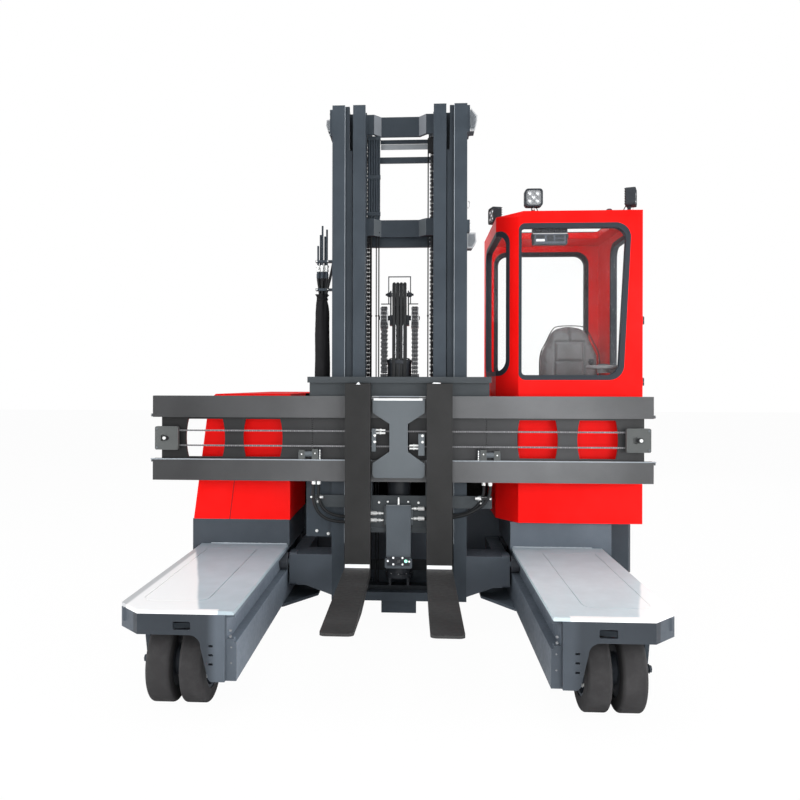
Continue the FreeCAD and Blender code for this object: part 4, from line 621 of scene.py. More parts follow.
def positioner_ends():
    """Bends of the chains, and nipples, slots and bolts at the bars' ends."""
    ends = Shape("positioner_ends", CARRIAGE, "chain_steel", "zinc", "plate_grey", "bolt_grey", "hose_black")
    nipple = [(0, 5), (5, 5), (7, 9), (10, 10), (13, 9), (15, 5)]
    for side in SIDES:
        for k in range(9):
            a = -math.pi / 2 + math.pi * k / 8
            link = P(side * (1362 + 45 * math.cos(a)), 1277, CHAINS_Z + 45 * math.sin(a))
            ends.peg(link, (0, 1, 0), 5, 9, 0, 8)
        for z in (1014, 1287):
            ends.turned(P(side * 1483, 1284, z), (side, 0, 0), nipple, 3, 16)
        x = side * 1402
        oval = [(x - side * 4 + 22 * c, CHAINS_Z + 15 * s) for c, s in around(24)]
        ends.prism(oval, "y", 1245.2, 1246.5, 4)
        ends.turned(P(x, 1234.5, CHAINS_Z), FORE, [(0, 10), (2, 10), (3, 7)], 1, 20)
        for dz in (-55, 55):
            ends.bolt(P(side * 1450, 1246, CHAINS_Z + dz), 6, 4, 2)
    ends.done()


def chain_anchors():
    """Studs and plates that tie the positioner's chains to the centre."""
    anchors = Shape("chain_anchors", CARRIAGE, "zinc", "plate_grey")
    for x, z, reach, way in ((-140, 1196, 62, -1), (120, 1106, 56, 1)):
        nut = reach * 0.45, reach * 0.62
        stud = [(0, 7), (nut[0], 7), (nut[0], 9), (nut[1], 9), (nut[1], 6), (reach, 6)]
        for dz in (-9, 9):
            anchors.turned(P(x, PLATE_FRONT + 14, z + dz), (-way, 0, 0), stud, 0, 12)
    for x0, x1, z0, z1 in ((-158, -134, 1081, 1214), (116, 152, 1058, 1185)):
        anchors.box(x0, x1, 1222, 1272, z0, z1, 1)
        for z in (1137, 1174):
            anchors.bolt(P((x0 + x1) / 2 + 6, 1222, z), 8, 6)
    anchors.done(1.5)


def bearing_blocks():
    """Bearings on the lower bar, with the upright chains beside them."""
    blocks = Shape("bearing_blocks", CARRIAGE, "plate_grey", "zinc", "cylinder_black", "light_strut")
    face = BAR_FRONT + 4.5
    for side in SIDES:
        for x0, x1, top in ((480, 519, 1089), (561, 599, 1083)):
            outline = [(x0, 1025), (x1, 1025), (x1, top - 14), (x1 - 9, top), (x0 + 9, top), (x0, top - 14)]
            blocks.prism([(side * x, z) for x, z in outline][::side], "y", face, 1310)
            blocks.bolt(P(side * (x0 + x1) / 2, face, top - 26), 6, 4, 1)
        blocks.rod(P(side * 519, 1290, 1058), P(side * 561, 1290, 1058), 17, 0, 20)
        for k in range(6):
            blocks.peg(P(side * 471, 1286, 1030 + k * 10), FORE, 4, 8, 1, 8)
        blocks.box(side * 463, side * 479, 1284, 1302, 1025, 1092, 2)
        for x in (459, 474):
            blocks.box(side * x, side * (x + 5), 1312, 1317, 1055, 1486, 2)
        blocks.box(side * 484, side * 512, 1311, 1317, 1055, 1486, 3)
        for k in range(34):
            blocks.peg(P(side * 520, 1314, 1062 + k * ROLLER_PITCH), FORE, 3, 6, 1, 6)
    blocks.done(1.2)


def carriage_screws():
    """Screws, unions and the cover's fastening on the fork carriage."""
    part = Shape("carriage_screws", CARRIAGE, "zinc", "plate_grey", "bright_steel")
    union = [(0, 9), (14, 9), (14, 12), (34, 12), (34, 8), (70, 8)]
    for side in SIDES:
        for x, z in ((118, 770), (60, 605), (140, 605)):
            part.bolt(P(side * x, 1302, z), 7, 5)
        part.box(side * 470, side * 500, 1296, 1304, 760, 815, 1)
        for z in (772, 800):
            part.bolt(P(side * 485, 1296, z), 7, 5)
        part.turned(P(side * 452, 1288, 800), (side, 0, 0), union, 0, 12)
        for z in (1405, 1395):
            part.box(side * 120, side * 160, BACK - 58, BACK - 50, z - 3, z, 2)
    for x in (-64, 57):
        part.turned(P(x, 1262, 781), FORE, [(0, 6), (6, 6), (8, 3)], 0, 14)
    part.box(-74, 74, 1252, 1258, 757, 763, 1)
    part.turned(P(0, 1262, 763), UP, [(0, 6), (36, 6), (36, 4), (44, 4)], 0, 12)
    part.done(0.8)


def carriage_edges():
    """Painted highlights: white and light strips along the upper edges of the plates and bars, and on the
    forks, which carry their own: a painted glint on each hook's top and a painted highlight along the fillet
    between blade and shank.
    """
    strip = Shape("plate_edge", CARRIAGE, "white_edge", "edge_light")
    # Painted highlights along the upper edges of the plate and the bars.
    strip.box(-147, 140, PLATE_FRONT - 1.5, PLATE_FRONT + 28, 1380, 1392, 0)
    for side in SIDES:
        strip.box(side * 160, side * 1498, BAR_FRONT - 1.2, BAR_FRONT + 14, 1020.5, 1026.2, 1)
    strip.box(-158, 158, BAR_FRONT - 1, BAR_FRONT + 14, 1401, 1406, 1)
    strip.done(0.8)
    # Painted highlight along each fork's fillet between blade and shank, and a painted glint on each hook's
    # top.
    face = BAR_FRONT - 60.3
    seam = [(face + 1, 401), (face + 1, 420), (face - 3, 416), (face - 16, 405), (face - 20, 401)]
    for side, word, cap in ((-1, "left", [(-250, 1474), (-224, 1474), (-236, 1488)]),
                            (1, "right", [(196, 1480), (206, 1487), (246, 1484), (244, 1479)])):
        heel = Shape("heel_edge_" + word, word + "_fork", "white_edge")
        heel.prism(cap, "y", 1209, 1250)
        heel.prism(seam, "x", side * 240 - 73, side * 240 + 73)
        heel.done(2)


def camera_lamps():
    """Camera under the cover box: bezel, lens and a ring of small lamps."""
    part = Shape("fork_camera", CARRIAGE, "cylinder_black", "lamp_lens", "led", "led_green")
    front = 1238.0
    part.box(-66, 66, front - 1.5, front + 2, 408, 460)
    part.turned(P(2, front, 435), FORE, [(0, 24), (8, 24), (10, 20), (10, 15), (5, 13)], 0, 28)
    part.turned(P(2, front - 4, 435), FORE, [(0, 12), (2, 11), (4, 7), (5, 2)], 1, 24)
    lamps = [(x, z, 6, 2) for x in (-30, 24) for z in (417, 455)]
    for x, z, r, mat in lamps + [(44, 436, 9, 3), (-62, 436, 6, 2), (64, 434, 6, 2)]:
        part.peg(P(x, front - 1.5, z), FORE, r + 3, 3)
        part.turned(P(x, front - 4.5, z), FORE, [(0, r), (1, r), (2, r * 0.6)], mat, 16)
    part.done()


HOSES = {
    "hose_left_low": (0.521, [
        (-508, 1288, 885), (-512, 1286, 840), (-510, 1284, 795), (-500, 1284, 745), (-474, 1284, 700),
        (-428, 1286, 668), (-368, 1290, 655), (-300, 1293, 652), (-235, 1295, 658), (-190, 1296, 665),
        (-156, 1296, 665)]),
    "hose_left_high": (0.466, [
        (-478, 1288, 885), (-480, 1286, 845), (-478, 1284, 805), (-468, 1284, 760), (-442, 1284, 723),
        (-398, 1286, 697), (-340, 1290, 685), (-280, 1293, 687), (-230, 1295, 697), (-190, 1296, 706),
        (-156, 1296, 706)]),
    "hose_right_low": (0.510, [
        (540, 1288, 885), (542, 1286, 846), (528, 1284, 800), (496, 1284, 760), (448, 1284, 726),
        (386, 1286, 700), (312, 1290, 685), (240, 1293, 678), (185, 1296, 677), (140, 1296, 677)]),
    "hose_right_high": (0.485, [
        (504, 1302, 885), (506, 1300, 840), (490, 1300, 785), (452, 1300, 738), (394, 1300, 706),
        (330, 1300, 696), (276, 1300, 704), (228, 1299, 720), (186, 1297, 732), (140, 1296, 736)]),
}
HOSE_D = 19.0


def hoses():
    """Hoses that hang between the lower bar's ends and the valves in the centre, and their fittings."""
    fittings = Shape("hose_fittings", CARRIAGE, "zinc", "plate_grey", "hose_black")
    tail = [(0, 8), (10, 8), (10, 10), (26, 10), (26, 7), (40, 7)]
    for name, (length, route) in HOSES.items():
        curve = bpy.data.curves.new(name, "CURVE")
        curve.dimensions = "3D"
        curve.bevel_depth = HOSE_D / 2000
        curve.bevel_resolution = 5
        curve.resolution_u = 10
        spline = curve.splines.new("NURBS")
        spline.points.add(len(route) - 1)
        for point, at in zip(spline.points, route):
            point.co = tuple(P(*at)) + (1,)
        spline.order_u = 3
        spline.use_endpoint_u = True
        curve.materials.append(LOOKS["hose_black"].mat)
        hose = placed(name, curve)
        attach(hose, "fork_carriage")
        (x, y, z), (end_x, end_y, end_z) = route[0], route[-1]
        way = -1 if end_x > 0 else 1
        fittings.peg(P(x, y, z - 8), UP, 12.5, 20)
        fittings.peg(P(x, y, z + 6), UP, 10, 14, 0, 6, False)
        fittings.peg(P(end_x - way * 12, end_y, end_z), (way, 0, 0), 12.5, 24)
        fittings.peg(P(end_x + way * 12, end_y, end_z), (way, 0, 0), 13, 13, 0, 6, False)
        fittings.turned(P(end_x + way * 25, end_y, end_z), (way, 0, 0), tail, 0, 14)
    for x0, x1 in ((-522, -464), (490, 554)):
        fittings.box(x0, x1, 1284, 1320, 897, 903, 1)
    for x0, x1, z in ((-524, -462, 802), (478, 544, 800)):
        fittings.box(x0, x1, 1273.5, 1277, z - 7, z + 7, 2)
        for x in (x0 + 3, x1 - 3):
            fittings.turned(P(x, 1276, z), FORE, [(0, 6), (3, 6), (3.4, 5)], 0, 12)
            fittings.rod(P(x, 1275, z), P(x, 1304, z), 4, 2, 8)
    for side in SIDES:
        fittings.box(side * 66, side * 84, 1290, 1312, 640, 750, 1)
    fittings.done(0.8)


# Mast

def pulley_hoses():
    """Four hoses over the pulleys: down the front to the carriage, down the rear to the barrel."""
    radius, thick = PULLEY_R - 2, 10.8
    half_turn = [math.pi * i / 16 for i in range(17)]
    over = Shape("hoses_over_pulleys", "chain_head", "hose_black")
    for x in PULLEYS_X:
        arc = [P(x, FREE_Y - radius * math.cos(a), PULLEY_Z + radius * math.sin(a)) for a in half_turn]
        over.tube(arc, thick, 0, 12)
    over.done()
    for word, y, low, body in (("front", FREE_Y - radius, 1440.0, CARRIAGE),
                               ("rear", FREE_Y + radius, ANCHOR_Z, "inner_stage")):
        strand = Shape("pulley_hoses_" + word, None, "hose_black", "zinc")
        for x in PULLEYS_X:
            strand.tube([P(x, y, PULLEY_Z + (low - PULLEY_Z) * i / 30) for i in range(31)], thick, 0, 12)
            strand.peg(P(x, y, low), UP, 10.6, 40, 1, 12)
        blend_down(strand.done(ride=False))


def pulley_guard():
    """Pin ends of the pulleys and of the chain sheaves."""
    guard = Shape("pulley_guard", "chain_head", "cylinder_black")
    pin = [(0, 16), (6, 16), (6, 12), (14, 12), (16, 7), (26, 7), (28, 5)]
    cap = [(0, 18), (8, 18), (8, 12), (14, 10)]
    for side in SIDES:
        guard.turned(P(side * 58, FREE_Y, PULLEY_Z), (side, 0, 0), pin, 0, 18)
        guard.turned(P(side * 110, FREE_Y, SHEAVE_Z), (side, 0, 0), cap, 0, 18)
    guard.done()


def cylinder_details():
    """Gland nut, foot ring and screws of the centre cylinder."""
    part = Shape("cylinder_glands", "inner_stage", "cylinder_black", "zinc")
    gland = [(0, 74), (1, 78), (22, 78), (28, 66), (36, 60), (36, 47)]
    foot = [(-64, 74), (-60, 78), (-4, 78), (0, 84), (24, 84), (26, 80)]
    part.turned(P(0, FREE_Y, 1600), UP, gland, 0, 40)
    for c, s in around(8):
        part.bolt(P(66 * c, FREE_Y + 66 * s, 1624), 5, 5, 1, UP, False)
    part.turned(P(0, FREE_Y, 323), (0, 0, -1), foot, 0, 40)
    for c, s in around(10, 0.3):
        part.bolt(P(76 * c, FREE_Y + 76 * s, 323), 5, 5, 1, UP, False)
    part.done(0.6)


MAST_LAMPS = (
    (-1, 2976, 3134, ((415, 3020), (440, 3026), (449, 3056), (447, 3090), (415, 3098))),
    (1, 2989, 3148, ((415, 3010), (452, 3012), (466, 3067), (467, 3103), (432, 3147), (415, 3147))),
    (1, 2390, 2462, ((410, 2394), (459, 2394), (464, 2339), (440, 2302), (410, 2302))))


def stage_chains():
    """Leaf chains that lift the inner stage."""
    for side, word in SIDE_WORDS:
        strand = leaf_chain("stage_chain_" + word, side * 200, 1565, 250, 3035,
                            24)
    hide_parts("stage_chains")


def mast_cables():
    """Cables down the mast, with the band and its clamps under the upper tie."""
    cables = Shape("mast_cables", "inner_stage", "hose_black", "truck_grey")
    for x, r in ((-182, 6.5), (-148, 3.5), (-132, 4), (175, 4), (199, 4)):
        cables.rod(P(x, 1522, 240), P(x, 1522, 2965 if x < 0 else 3010), r, 0, 10)
        for z in (700, 1300, 1900, 2420):
            cables.box(x - r - 2, x + r + 2, 1514, 1530, z, z + 8)
    for k in range(5):
        x = -194 + 15.5 * k
        route = [P(x * 0.72 - 44, 1522, 2470), P(x, 1520, 2520), P(x, 1518, 2600), P(x, 1518, 3026)]
        cables.tube(route, 7.9, 1)
    for z in (2530, 2760, 3003):
        cables.box(-204, -122, 1506, 1528, z, z + 22, 1)
    cables.box(172, 212, 1508, 1526, 2918, 3010)
    cables.done()


def mast_ties():
    """Painted light on the slanting faces of the ties, as thin light sheets, and the strip across the middle
    stage.
    """
    facets = Shape("tie_facets", "inner_stage", "edge_soft", "plate_grey")
    # Thin light sheets laid on the ties' slanting faces as painted light.
    for z0, z1, mat in ((3029, 3148, 0), (2401, 2503, 1)):
        for near, far in ((-161, -118), (161, 118)):
            outline = [(near, TIE_ROOT), (far, TIE_BOW), (far, TIE_BOW - 1), (near, TIE_ROOT - 1)]
            facets.prism(outline, "z", z0, z1, mat)
    facets.done()
    cross = Shape("mast_cross_strip", "middle_stage", "light_strut", "truck_grey")
    cross.box(-124, 172, 1596, 1600, 2966, 3000, 0)
    cross.box(-126, 176, 1588, 1600, 3002, 3026, 1)
    cross.done(0.8)


def mast_lamps():
    """Lamp shells beside the mast's top, plate bolts and cable hook."""
    caps = Shape("mast_lamp_shells", "reach_carriage", "pale_cap", "zinc", "lamp_lens")
    for side, z0, z1, head in MAST_LAMPS:
        mx, mz = [sum(values) / len(head) for values in zip(*head)]
        shell = [(mx + (x - mx) * 1.03 + (0 if x < 420 else 1.0), mz + (z - mz) * 1.03) for x, z in head]
        inner = [(mx + (x - mx) * 0.78, mz + (z - mz) * 0.82) for x, z in head]
        for outline, y0, y1, mat in ((shell, 1394, 1401, 0), (inner, 1391, 1395, 2)):
            caps.prism([(side * x, z) for x, z in outline], "y", y0, y1, mat)
        for z in (z0 + 16, z1 - 16):
            caps.bolt(P(side * 421, 1362, z), 6, 5, 1, (side, 0, 0))
    for x, z in ((-501, 581), (-431, 564)):
        caps.bolt(P(x, 1380, z), 9, 7, 1)
    hook = [P(x, 1400, z) for x, z in ((403, 2552), (414, 2546), (424, 2552), (425, 2575), (416, 2588))]
    caps.tube(smooth_path(hook), 3, 1, 8)
    caps.done(0.8)


def channel_edges():
    """Painted highlights: light strips along the front edges of the outer channels."""
    lines = Shape("mast_channel_edges", "reach_carriage", "edge_light")
    for side in SIDES:
        lines.box(side * 327, side * 329.5, 1329.2, 1331, 520, 3156.5)
    lines.done()


def hose_sleeve():
    """Wrinkled cloth sleeve of the hoses beside the mast, tied at its neck."""
    rows, count = 70, 40
    sleeve = Shape("hose_sleeve", "reach_carriage", "sleeve")
    verts = []
    for i in range(rows + 1):
        t = i / rows
        z = SLEEVE_LOW + (SLEEVE_TOP - SLEEVE_LOW) * t
        base = 53 - 13 * t ** 1.5
        neck = max(0.0, (z - 1900) / 110)
        if neck > 0:
            base = base * (1 - 0.40 * min(neck, 1.0) ** 1.5) + 81 * max(0.0, neck - 1.0)
        for k in range(count):
            a = 2 * math.pi * k / count
            fold = 2.4 * math.sin(5 * a + 4 * t) + 1.6 * math.sin(9 * a - 11 * t)
            fold += 1.3 * math.sin(3 * a + 30 * t)
            r = base + fold * (0.6 + 1.8 * min(1.0, neck)) + random.uniform(-0.5, 0.5)
            verts.append(P(BUNDLE_X + r * math.cos(a), BUNDLE_Y + r * math.sin(a), z))
    sleeve.loft(verts, count)
    for z, r in ((1996, 30), (2002, 31)):
        sleeve.ring(P(BUNDLE_X, BUNDLE_Y, z), UP, r, 4)
    body = sleeve.done()
    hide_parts("mast_hoses")


def bundle_pipes():
    """Fittings, steel pipes and brackets above the sleeve, and its side runs."""
    x0, y0 = BUNDLE_X, BUNDLE_Y
    pipes = Shape("bundle_pipes", "reach_carriage", "hose_black", "zinc", "truck_grey")
    for dx, dy, end in ((-28, 0, 2330), (-14, 12, 2400), (0, -6, 2452), (14, 10, 2390), (27, -2, 2430)):
        x, y = x0 + dx, y0 + dy
        neck = [P(x0 + dx * 0.5, y0 + dy * 0.5, 2000), P(x0 + dx * 0.7, y, 2060)]
        pipes.tube(smooth_path(neck + [P(x, y, 2120), P(x, y, 2150)], 5), 8, 0, 12)
        pipes.turned(P(x, y, 2130), UP, [(0, 10), (28, 10), (28, 8), (40, 8)], 2, 14)
        pipes.peg(P(x, y, 2170), UP, 12, 14, 1, 6, False)
        pipes.turned(P(x, y, 2184), UP, [(0, 9), (10, 9), (10, 12), (24, 12)], 1, 14)
        pipes.rod(P(x, y, 2200), P(x, y, end), 6, 2, 12)
    for z in (2052, 2226):
        pipes.box(x0 - 42, -405, y0 - 16, y0 + 22, z, z + 14, 2)
        for dx in (-34, 34):
            pipes.bolt(P(x0 + dx, y0 - 16, z + 7), 5, 4, 1)
    pipes.box(x0 - 44, x0 + 44, 1392, y0 + 44, SLEEVE_LOW - 24, SLEEVE_LOW, 2)
    pipes.done(0.8)
    side_runs = Shape("bundle_side_runs", "reach_carriage", "hose_black")
    for bend in (0, 22):
        run = [P(-455, 1432, 2010), P(-440, 1425, 2070 + bend), P(-425, 1425, 2130 + bend),
               P(-412, 1430, 2200 + bend), P(-408, 1440, 2250 + bend)]
        side_runs.tube(smooth_path(run), 6)
    side_runs.done()


# Cab

PUFF = 0.012


def pillow(name, outline, axis, d0, d1):
    """Padded form from an outline: blown up as cloth under pressure, by PUFF at most, then smoothed."""
    block = Shape(name, "chassis", "seat_cover")
    block.prism(outline, axis, d0, d1)
    obj = block.done(ride=False)
    bpy.context.view_layer.objects.active = obj
    bpy.ops.object.select_all(action="DESELECT")
    obj.select_set(True)
    soft = obj.modifiers.new("soft", "BEVEL")
    soft.width = 0.022
    soft.segments = 4
    soft.limit_method = "ANGLE"
    remesh = obj.modifiers.new("voxels", "REMESH")
    remesh.mode = "VOXEL"
    remesh.voxel_size = 0.006
    for modifier in ("soft", "voxels"):
        bpy.ops.object.modifier_apply(modifier=modifier)
    rest = [v.co.copy() for v in obj.data.vertices]
    cloth = obj.modifiers.new("pressure", "CLOTH")
    cloth.settings.use_pressure = True
    cloth.settings.uniform_pressure_force = 4.0
    cloth.settings.effector_weights.gravity = 0.0
    cloth.settings.quality = 4
    scene = bpy.context.scene
    for number in range(1, 21):
        scene.frame_set(number)
    blown = obj.evaluated_get(bpy.context.evaluated_depsgraph_get()).data
    moved = [v.co.copy() for v in blown.vertices]
    obj.modifiers.remove(cloth)
    scene.frame_set(1)
    for vertex, start, end in zip(obj.data.vertices, rest, moved):
        step = end - start
        if step.length > PUFF:
            step = step.normalized() * PUFF
        vertex.co = start + step
    for polygon in obj.data.polygons:
        polygon.use_smooth = True
    return obj


def groove(obj, lines, depth, width, inward):
    """Pulls the side that faces against inward in along seams, each a pair of points in metres."""
    vertices = obj.data.vertices
    middle = sum(vertex.co.dot(inward) for vertex in vertices) / len(vertices)
    for vertex in vertices:
        if vertex.co.dot(inward) > middle:
            continue
        best = 9.0
        for a, b in lines:
            d = b - a
            flat = (vertex.co - a) - inward * (vertex.co - a).dot(inward)
            t = max(0.0, min(1.0, flat.dot(d) / d.length_squared))
            best = min(best, (flat - d * t).length)
        if best < 3 * width / 1000:
            vertex.co += inward * (depth / 1000) * math.exp(-(best * 1000 / width) ** 2)


def seat():
    """Driver's seat: padded cushion and bucket back with sewn panels."""
    x, y, z = 1168, 2190, 1300
    half = [(198, 6), (207, 250), (201, 388), (160, 478), (121, 555), (74, 583)]
    outline = [(x + a, z + b) for a, b in half] + [(x - a, z + b) for a, b in reversed(half)]
    back = pillow("seat_back", outline, "y", y - 52, y + 40)
    front = y - 66
    seams = [((0, 1890), (0, 1778)), ((-98, 1774), (98, 1774)), ((-98, 1774), (-104, 1330)),
             ((98, 1774), (104, 1330)), ((-100, 1641), (100, 1641)), ((-102, 1500), (102, 1500))]
    lines = [(P(x + a[0], front, a[1]), P(x + b[0], front, b[1])) for a, b in seams]
    groove(back, lines, 15, 8, Vector((0, 1, 0)))
    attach(back, "chassis")
    plan = [(x - 195, y - 410), (x + 195, y - 410), (x + 205, y + 10), (x - 205, y + 10)]
    cushion = pillow("seat_cushion", plan, "z", z - 110, z - 12)
    rows = [(P(x - 190, y + dy, z), P(x + 190, y + dy, z)) for dy in (-290, -170)]
    rows += [(P(x + s * 120, y - 400, z), P(x + s * 120, y, z)) for s in (-1, 1)]
    groove(cushion, rows, 9, 9, Vector((0, 0, -1)))
    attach(cushion, "chassis")
    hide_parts("seat")
    trim = Shape("seat_piping", "chassis", "hose_black", "black_plastic")
    trim.tube(smooth_path([P(a, y - 62, b) for a, b in outline]), 3.5, 0, 8)
    trim.box(x - 180, x + 180, y + 38, y + 54, z + 10, z + 420, 1)
    trim.turned(P(x + 226, y - 40, z - 60), (1, 0, 0), [(0, 22), (14, 22), (18, 16)], 1, 24)
    trim.done(2)


def cab_fittings():
    """Monitor with its buttons, steering knob, frame of the roof pane and hinge sleeves."""
    part = Shape("cab_fittings", "chassis", "black_plastic", "screen", "zinc", "seal_rubber", "white_edge")
    part.box(822, 1011, 1456, 1461, 2336, 2395, 1)
    for k in range(5):
        part.turned(P(842 + k * 37, 1461, 2414), FORE, [(0, 13), (6, 13), (8, 10)], 0, 20)
    for x0, x1, z0, z1, mat in (
            (832, 884, 2350, 2364, 4), (832, 884, 2370, 2388, 0), (896, 938, 2350, 2388, 0),
            (948, 1002, 2350, 2366, 0), (948, 1002, 2372, 2388, 0)):
        part.box(x0, x1, 1453, 1458, z0, z1, mat)
    part.box(812, 1022, 1452, 1462, 2396, 2400, 2)
    for x in (806, 1024):
        part.peg(P(x, 1478, 2384), (1, 0, 0), 14, 6, 0, 18)
    sx, sy, sz = 1262, 1556, 1584
    for a in (0.5, 2.6, 4.7):
        part.rod(P(sx, sy, sz), P(sx + 90 * math.cos(a), sy + 90 * math.sin(a), sz), 7, 0, 10)
    knob = [(0, 8), (12, 8), (16, 17), (34, 20), (44, 15), (48, 6)]
    part.turned(P(sx - 62, sy + 60, sz + 8), UP, knob, 0, 22)
    part.turned(P(sx, sy, sz), UP, [(-20, 34), (10, 40), (18, 34), (22, 18)], 0, 28)
    x0, x1, y0, y1 = 700, 1340, 1500, 2060
    for a in ((x0 - 18, x1 + 18, y0 - 18, y0), (x0 - 18, x1 + 18, y1, y1 + 18), (x0 - 18, x0, y0, y1),
              (x1, x1 + 18, y0, y1)):
        part.box(*a, ROOF_Z, ROOF_Z + 6, 3)
    part.turned(P(1263, 1425, ROOF_Z), UP, [(0, 19), (9, 19), (15, 12), (17, 4)], 0, 20)
    for z in HINGES_Z:
        part.peg(P(*HINGE, z - 21.5), UP, 12.4, 20.5, 0, 20)
    part.done(1.5)


def door_fittings():
    """Latch, grip and hinge caps that swing with the door."""
    door = Shape("door_fittings", "cab_door", "black_plastic")
    door.box(1452, 1459, 1955, 2005, 1335, 1425)
    grip = [P(x, 1975, z) for x, z in ((1455, 1230), (1474, 1245), (1476, 1310), (1474, 1375), (1455, 1390))]
    door.tube(smooth_path(grip), 9, 0, 12)
    for z in HINGES_Z:
        door.turned(P(*HINGE, z + 22), UP, [(0, 11), (4, 9), (6, 4)], 0, 20)
        door.peg(P(*HINGE, z + 1), UP, 12.4, 20.5, 0, 20)
    door.done(1)


def corner(w, r, i, n):
    """Point i of n round a square of half width w with corner radius r."""
    quarter = n // 4
    q, k = divmod(i, quarter)
    a = math.pi / 2 * (q + k / (quarter - 1))
    cx, cy = ((1, 1), (-1, 1), (-1, -1), (1, -1))[q]
    return cx * (w - r) + r * math.cos(a), cy * (w - r) + r * math.sin(a)


def lamp_faces():
    """Reflectors, diodes, bezel and cooling fins of the roof lamps."""
    z, n = 2607, 28
    for k, (x, y, turn) in enumerate(((811.0, 1440.0, 0.0), (1388.0, 1440.0, 70.0), (636.0, 1904.0, -75.0))):
        part = Shape("lamp_face_%d" % k, "chassis", "black_plastic", "lamp_mirror", "led", "zinc")
        verts = []
        for w, d in ((53.5, 0), (53.5, 7), (46, 9), (44, 2)):
            loop = [corner(w, w * 0.36, i, n) for i in range(n)]
            verts += [P(x + a, y - 30 - d, z + b) for a, b in loop]
        part.add(verts, skin(4, n))
        part.add(verts[-n:], [list(range(n))], 1)
        for lx, lz in ((-23, 23), (23, 23), (0, 0), (-23, -23), (23, -23)):
            part.turned(P(x + lx, y - 31, z + lz), FORE, [(0, 15), (5, 15), (5, 13.5), (1.2, 8)], 1, 20)
            part.turned(P(x + lx, y - 32, z + lz), FORE, [(0, 7), (2, 6), (4, 3)], 2, 14)
        for i in range(7):
            part.box(x - 48, x + 48, y + 18, y + 26, z - 45 + i * 15, z - 41 + i * 15)
        part.box(x - 26, x + 26, y - 18, y + 14, ROOF_Z, ROOF_Z + 5)
        part.bolt(P(x, y - 18, 2540), 7, 5, 3)
        route = ((14, 16, 2570), (30, 34, 2548), (34, 40, 2528), (30, 44, 2522))
        part.tube(smooth_path([P(x + a, y + b, c) for a, b, c in route], 5), 3, 0, 8)
        obj = part.done(0.5)
        there, back = Matrix.Translation(P(x, y, 0)), Matrix.Translation(-P(x, y, 0))
        obj.data.transform(there @ Matrix.Rotation(math.radians(turn), 4, "Z") @ back)


# Wheels and chassis

def wheels():
    """Wheel bolts, sidewall rings and yoke nuts."""
    for side, word in SIDE_WORDS:
        middle = side * WHEEL_X
        hub = Shape("wheel_bolts_" + word, "wheels_" + word, "zinc", "tyre_rubber")
        for face in SIDES:
            for s, c in around(8):
                hub.bolt(P(middle + face * 113, WHEEL_Y + 82 * s, WHEEL_Z + 82 * c), 9, 8, 0, (face, 0, 0))
            for radius in (132, 152, 168):
                hub.ring(P(middle + face * 129.6, WHEEL_Y, WHEEL_Z), (1, 0, 0), radius, 1.6, 1, 60, 6)
        hub.done()
        yoke = Shape("yoke_fittings_" + word, "swivel_" + word, "rim_grey")
        for face in SIDES:
            yoke.bolt(P(middle + face * 183, WHEEL_Y, WHEEL_Z), 20, 12, 0, (face, 0, 0))
        yoke.done(0.8)
    drive = Shape("drive_wheel_bolts", "drive_wheels", "zinc", "tyre_rubber")
    for face in SIDES:
        for c, s in around(8):
            drive.bolt(P(face * 166, DRIVE_Y + 95 * c, DRIVE_Z + 95 * s), 9, 8, 0, (face, 0, 0))
        for radius in (150, 170, 185):
            drive.ring(P(face * 179.6, DRIVE_Y, DRIVE_Z), (1, 0, 0), radius, 1.6, 1, 60, 6)
    drive.done()


def bead(part, a, b, r, mat, step=9):
    """Weld bead: overlapping ripples from a to b."""
    n = max(2, int((b - a).length * 1000 / step))
    u, v, _ = basis(b - a)
    verts = []
    for i in range(n + 1):
        q = r * (1 + random.uniform(-0.25, 0.25))
        verts += [a + (b - a) * (i / n) + (u * c + v * s) * (q / 1000) for c, s in around(8)]
    part.add(verts, skin(n + 1, 8), mat)


def chassis_details():
    """Welds of the arms and decks, bolts at the arm fronts and the left cover's seam."""
    part = Shape("chassis_welds", "chassis", "edge_light", "truck_grey", "bolt_grey", "hose_black")
    for side in SIDES:
        for x0, y0, z0, x1, y1, z1, r, mat in (
                (690, 1403, 493, 1160, 1403, 493, 4.5, 0), (690, 1403, 480, 690, 1403, 360, 4, 1),
                (733, 30, 352, 733, 1390, 352, 4, 1), (1200, 1403, 470, 1200, 1403, 400, 4, 1)):
            bead(part, P(side * x0, y0, z0), P(side * x1, y1, z1), r, mat)
        for z in (378, 404):
            part.bolt(P(side * 700, 18, z), 6, 5, 2)
        for z in (262, 330):
            part.bolt(P(side * 697, 20, z), 5, 4, 2)
    part.prism([(-1003, 1000), (-1000, 1000), (-1044, 640), (-1047, 640)], "y", 1402.4, 1404, 3)
    part.done(0.6)


for build in (mast_chains, positioner_runs, positioner_ends, chain_anchors, bearing_blocks,
              carriage_screws, carriage_edges, camera_lamps, hoses, pulley_hoses, pulley_guard,
              cylinder_details, stage_chains, mast_cables, mast_ties, mast_lamps, channel_edges,
              hose_sleeve, bundle_pipes, seat, cab_fittings, door_fittings, lamp_faces, wheels,
              chassis_details):
    build()


# Floor, light and camera

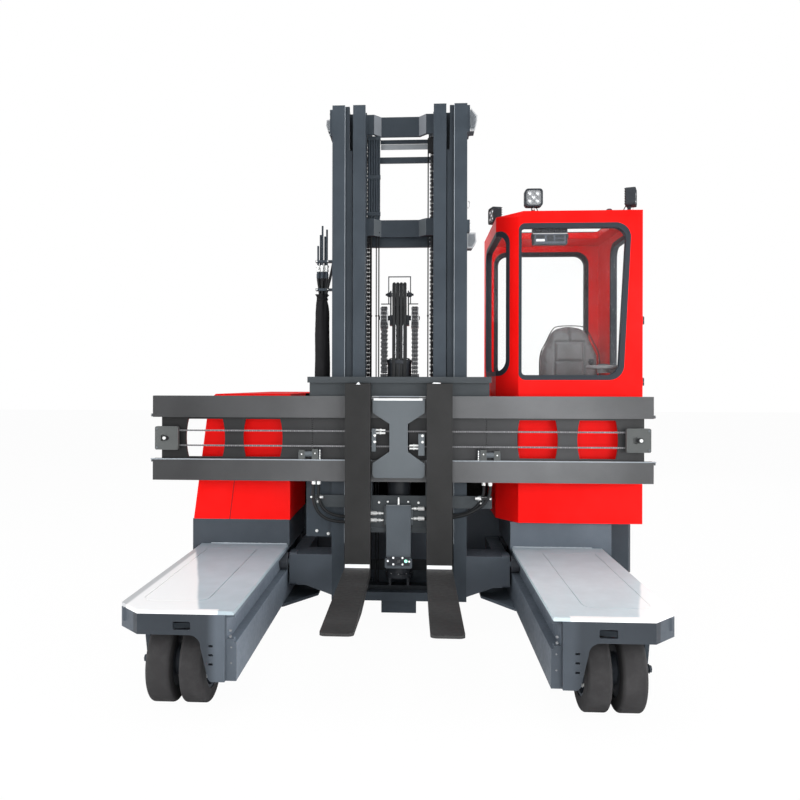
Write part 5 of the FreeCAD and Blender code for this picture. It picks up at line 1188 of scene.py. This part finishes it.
def floor():
    """Pale floor with the object's shadow, close to white for the camera."""
    mesh = bpy.data.meshes.new("studio_floor")
    far = 40
    mesh.from_pydata([(-far, -far, 0), (far, -far, 0), (far, far, 0), (-far, far, 0)], [], [(0, 1, 2, 3)])
    ground = placed("studio_floor", mesh)
    look = Look().surface({"Base Color": (0.86, 0.86, 0.86), "Roughness": 0.9})
    camera_ray = look.node("LightPath", {}, "Is Camera Ray")
    seen = look.node("Math", {0: camera_ray, 1: 0.97}, operation="MULTIPLY")
    white = look.node("Emission", {"Color": (1, 1, 1)})
    look.show("Material Output", seen, look.shader.outputs["BSDF"], white)
    mesh.materials.append(look.mat)


def backdrop():
    """World that is white to the camera and through glass, and a soft light to the object."""
    world = bpy.data.worlds.new("studio")
    bpy.context.scene.world = world
    world.use_nodes = True
    tree = Tree(world.node_tree)
    sky = tree.nodes["Background"]
    tree.feed(sky, {"Color": (0.93, 0.95, 1.0), "Strength": 0.27})
    plain = tree.node("Background", {"Color": (1, 1, 1), "Strength": 1.0})
    rays = [tree.node("LightPath", {}, name) for name in ("Is Camera Ray", "Is Transmission Ray")]
    either = tree.node("Math", {0: rays[0], 1: rays[1]}, operation="MAXIMUM")
    tree.show("World Output", either, sky.outputs["Background"], plain)


def light(name, place, target, size, power):
    data = bpy.data.lights.new(name, "AREA")
    data.shape = "RECTANGLE"
    data.size, data.size_y = size
    data.energy = power
    obj = placed(name, data)
    obj.location = place
    obj.rotation_euler = (Vector(target) - Vector(place)).to_track_quat("-Z", "Y").to_euler()


def camera():
    """Camera fitted to the photo: 4.9 m before the truck's middle and 1.465 m high."""
    turn, roll = 0.056, -0.0020
    photo, focal, middle = 800, 763.85, (372.97, 385.99)
    data = bpy.data.cameras.new("photo_camera")
    data.sensor_width = 36
    data.lens = focal * data.sensor_width / photo
    data.shift_x = (photo / 2 - middle[0]) / photo
    data.shift_y = (middle[1] - photo / 2) / photo
    data.clip_end = 200
    obj = placed("photo_camera", data)
    right = Vector((math.cos(turn), math.sin(turn), 0))
    up = Vector(UP)
    right, up = right * math.cos(roll) - up * math.sin(roll), up * math.cos(roll) + right * math.sin(roll)
    axes = Matrix((right, up, right.cross(up))).transposed().to_4x4()
    obj.matrix_world = Matrix.Translation(P(100.36, -3256.9, 1465.2)) @ axes
    bpy.context.scene.camera = obj


floor()
backdrop()
light("front_box", (-2.2, -8.0, 4.2), (0, 0, 1.2), (5, 4), 145)
light("key_right", (3.6, -5.8, 1.9), (0.8, 0, 0.9), (2.8, 2.4), 125)
light("low_box", (0, -6.6, 0.8), (0, 0, 0.7), (6, 1.2), 80)
light("right_box", (6.5, -3.0, 2.4), (0.2, -0.4, 0.7), (4, 4), 290)
light("top_box", (0, -0.8, 7.0), (0, -0.3, 0), (7, 6), 270)
light("left_box", (-6.5, -3.0, 2.4), (-0.2, -0.4, 0.7), (4, 4), 310)
light("rear_box", (2.0, 8.0, 4.5), (0, 0.5, 1.0), (6, 4), 180)
camera()
bpy.context.scene.view_settings.view_transform = "Standard"
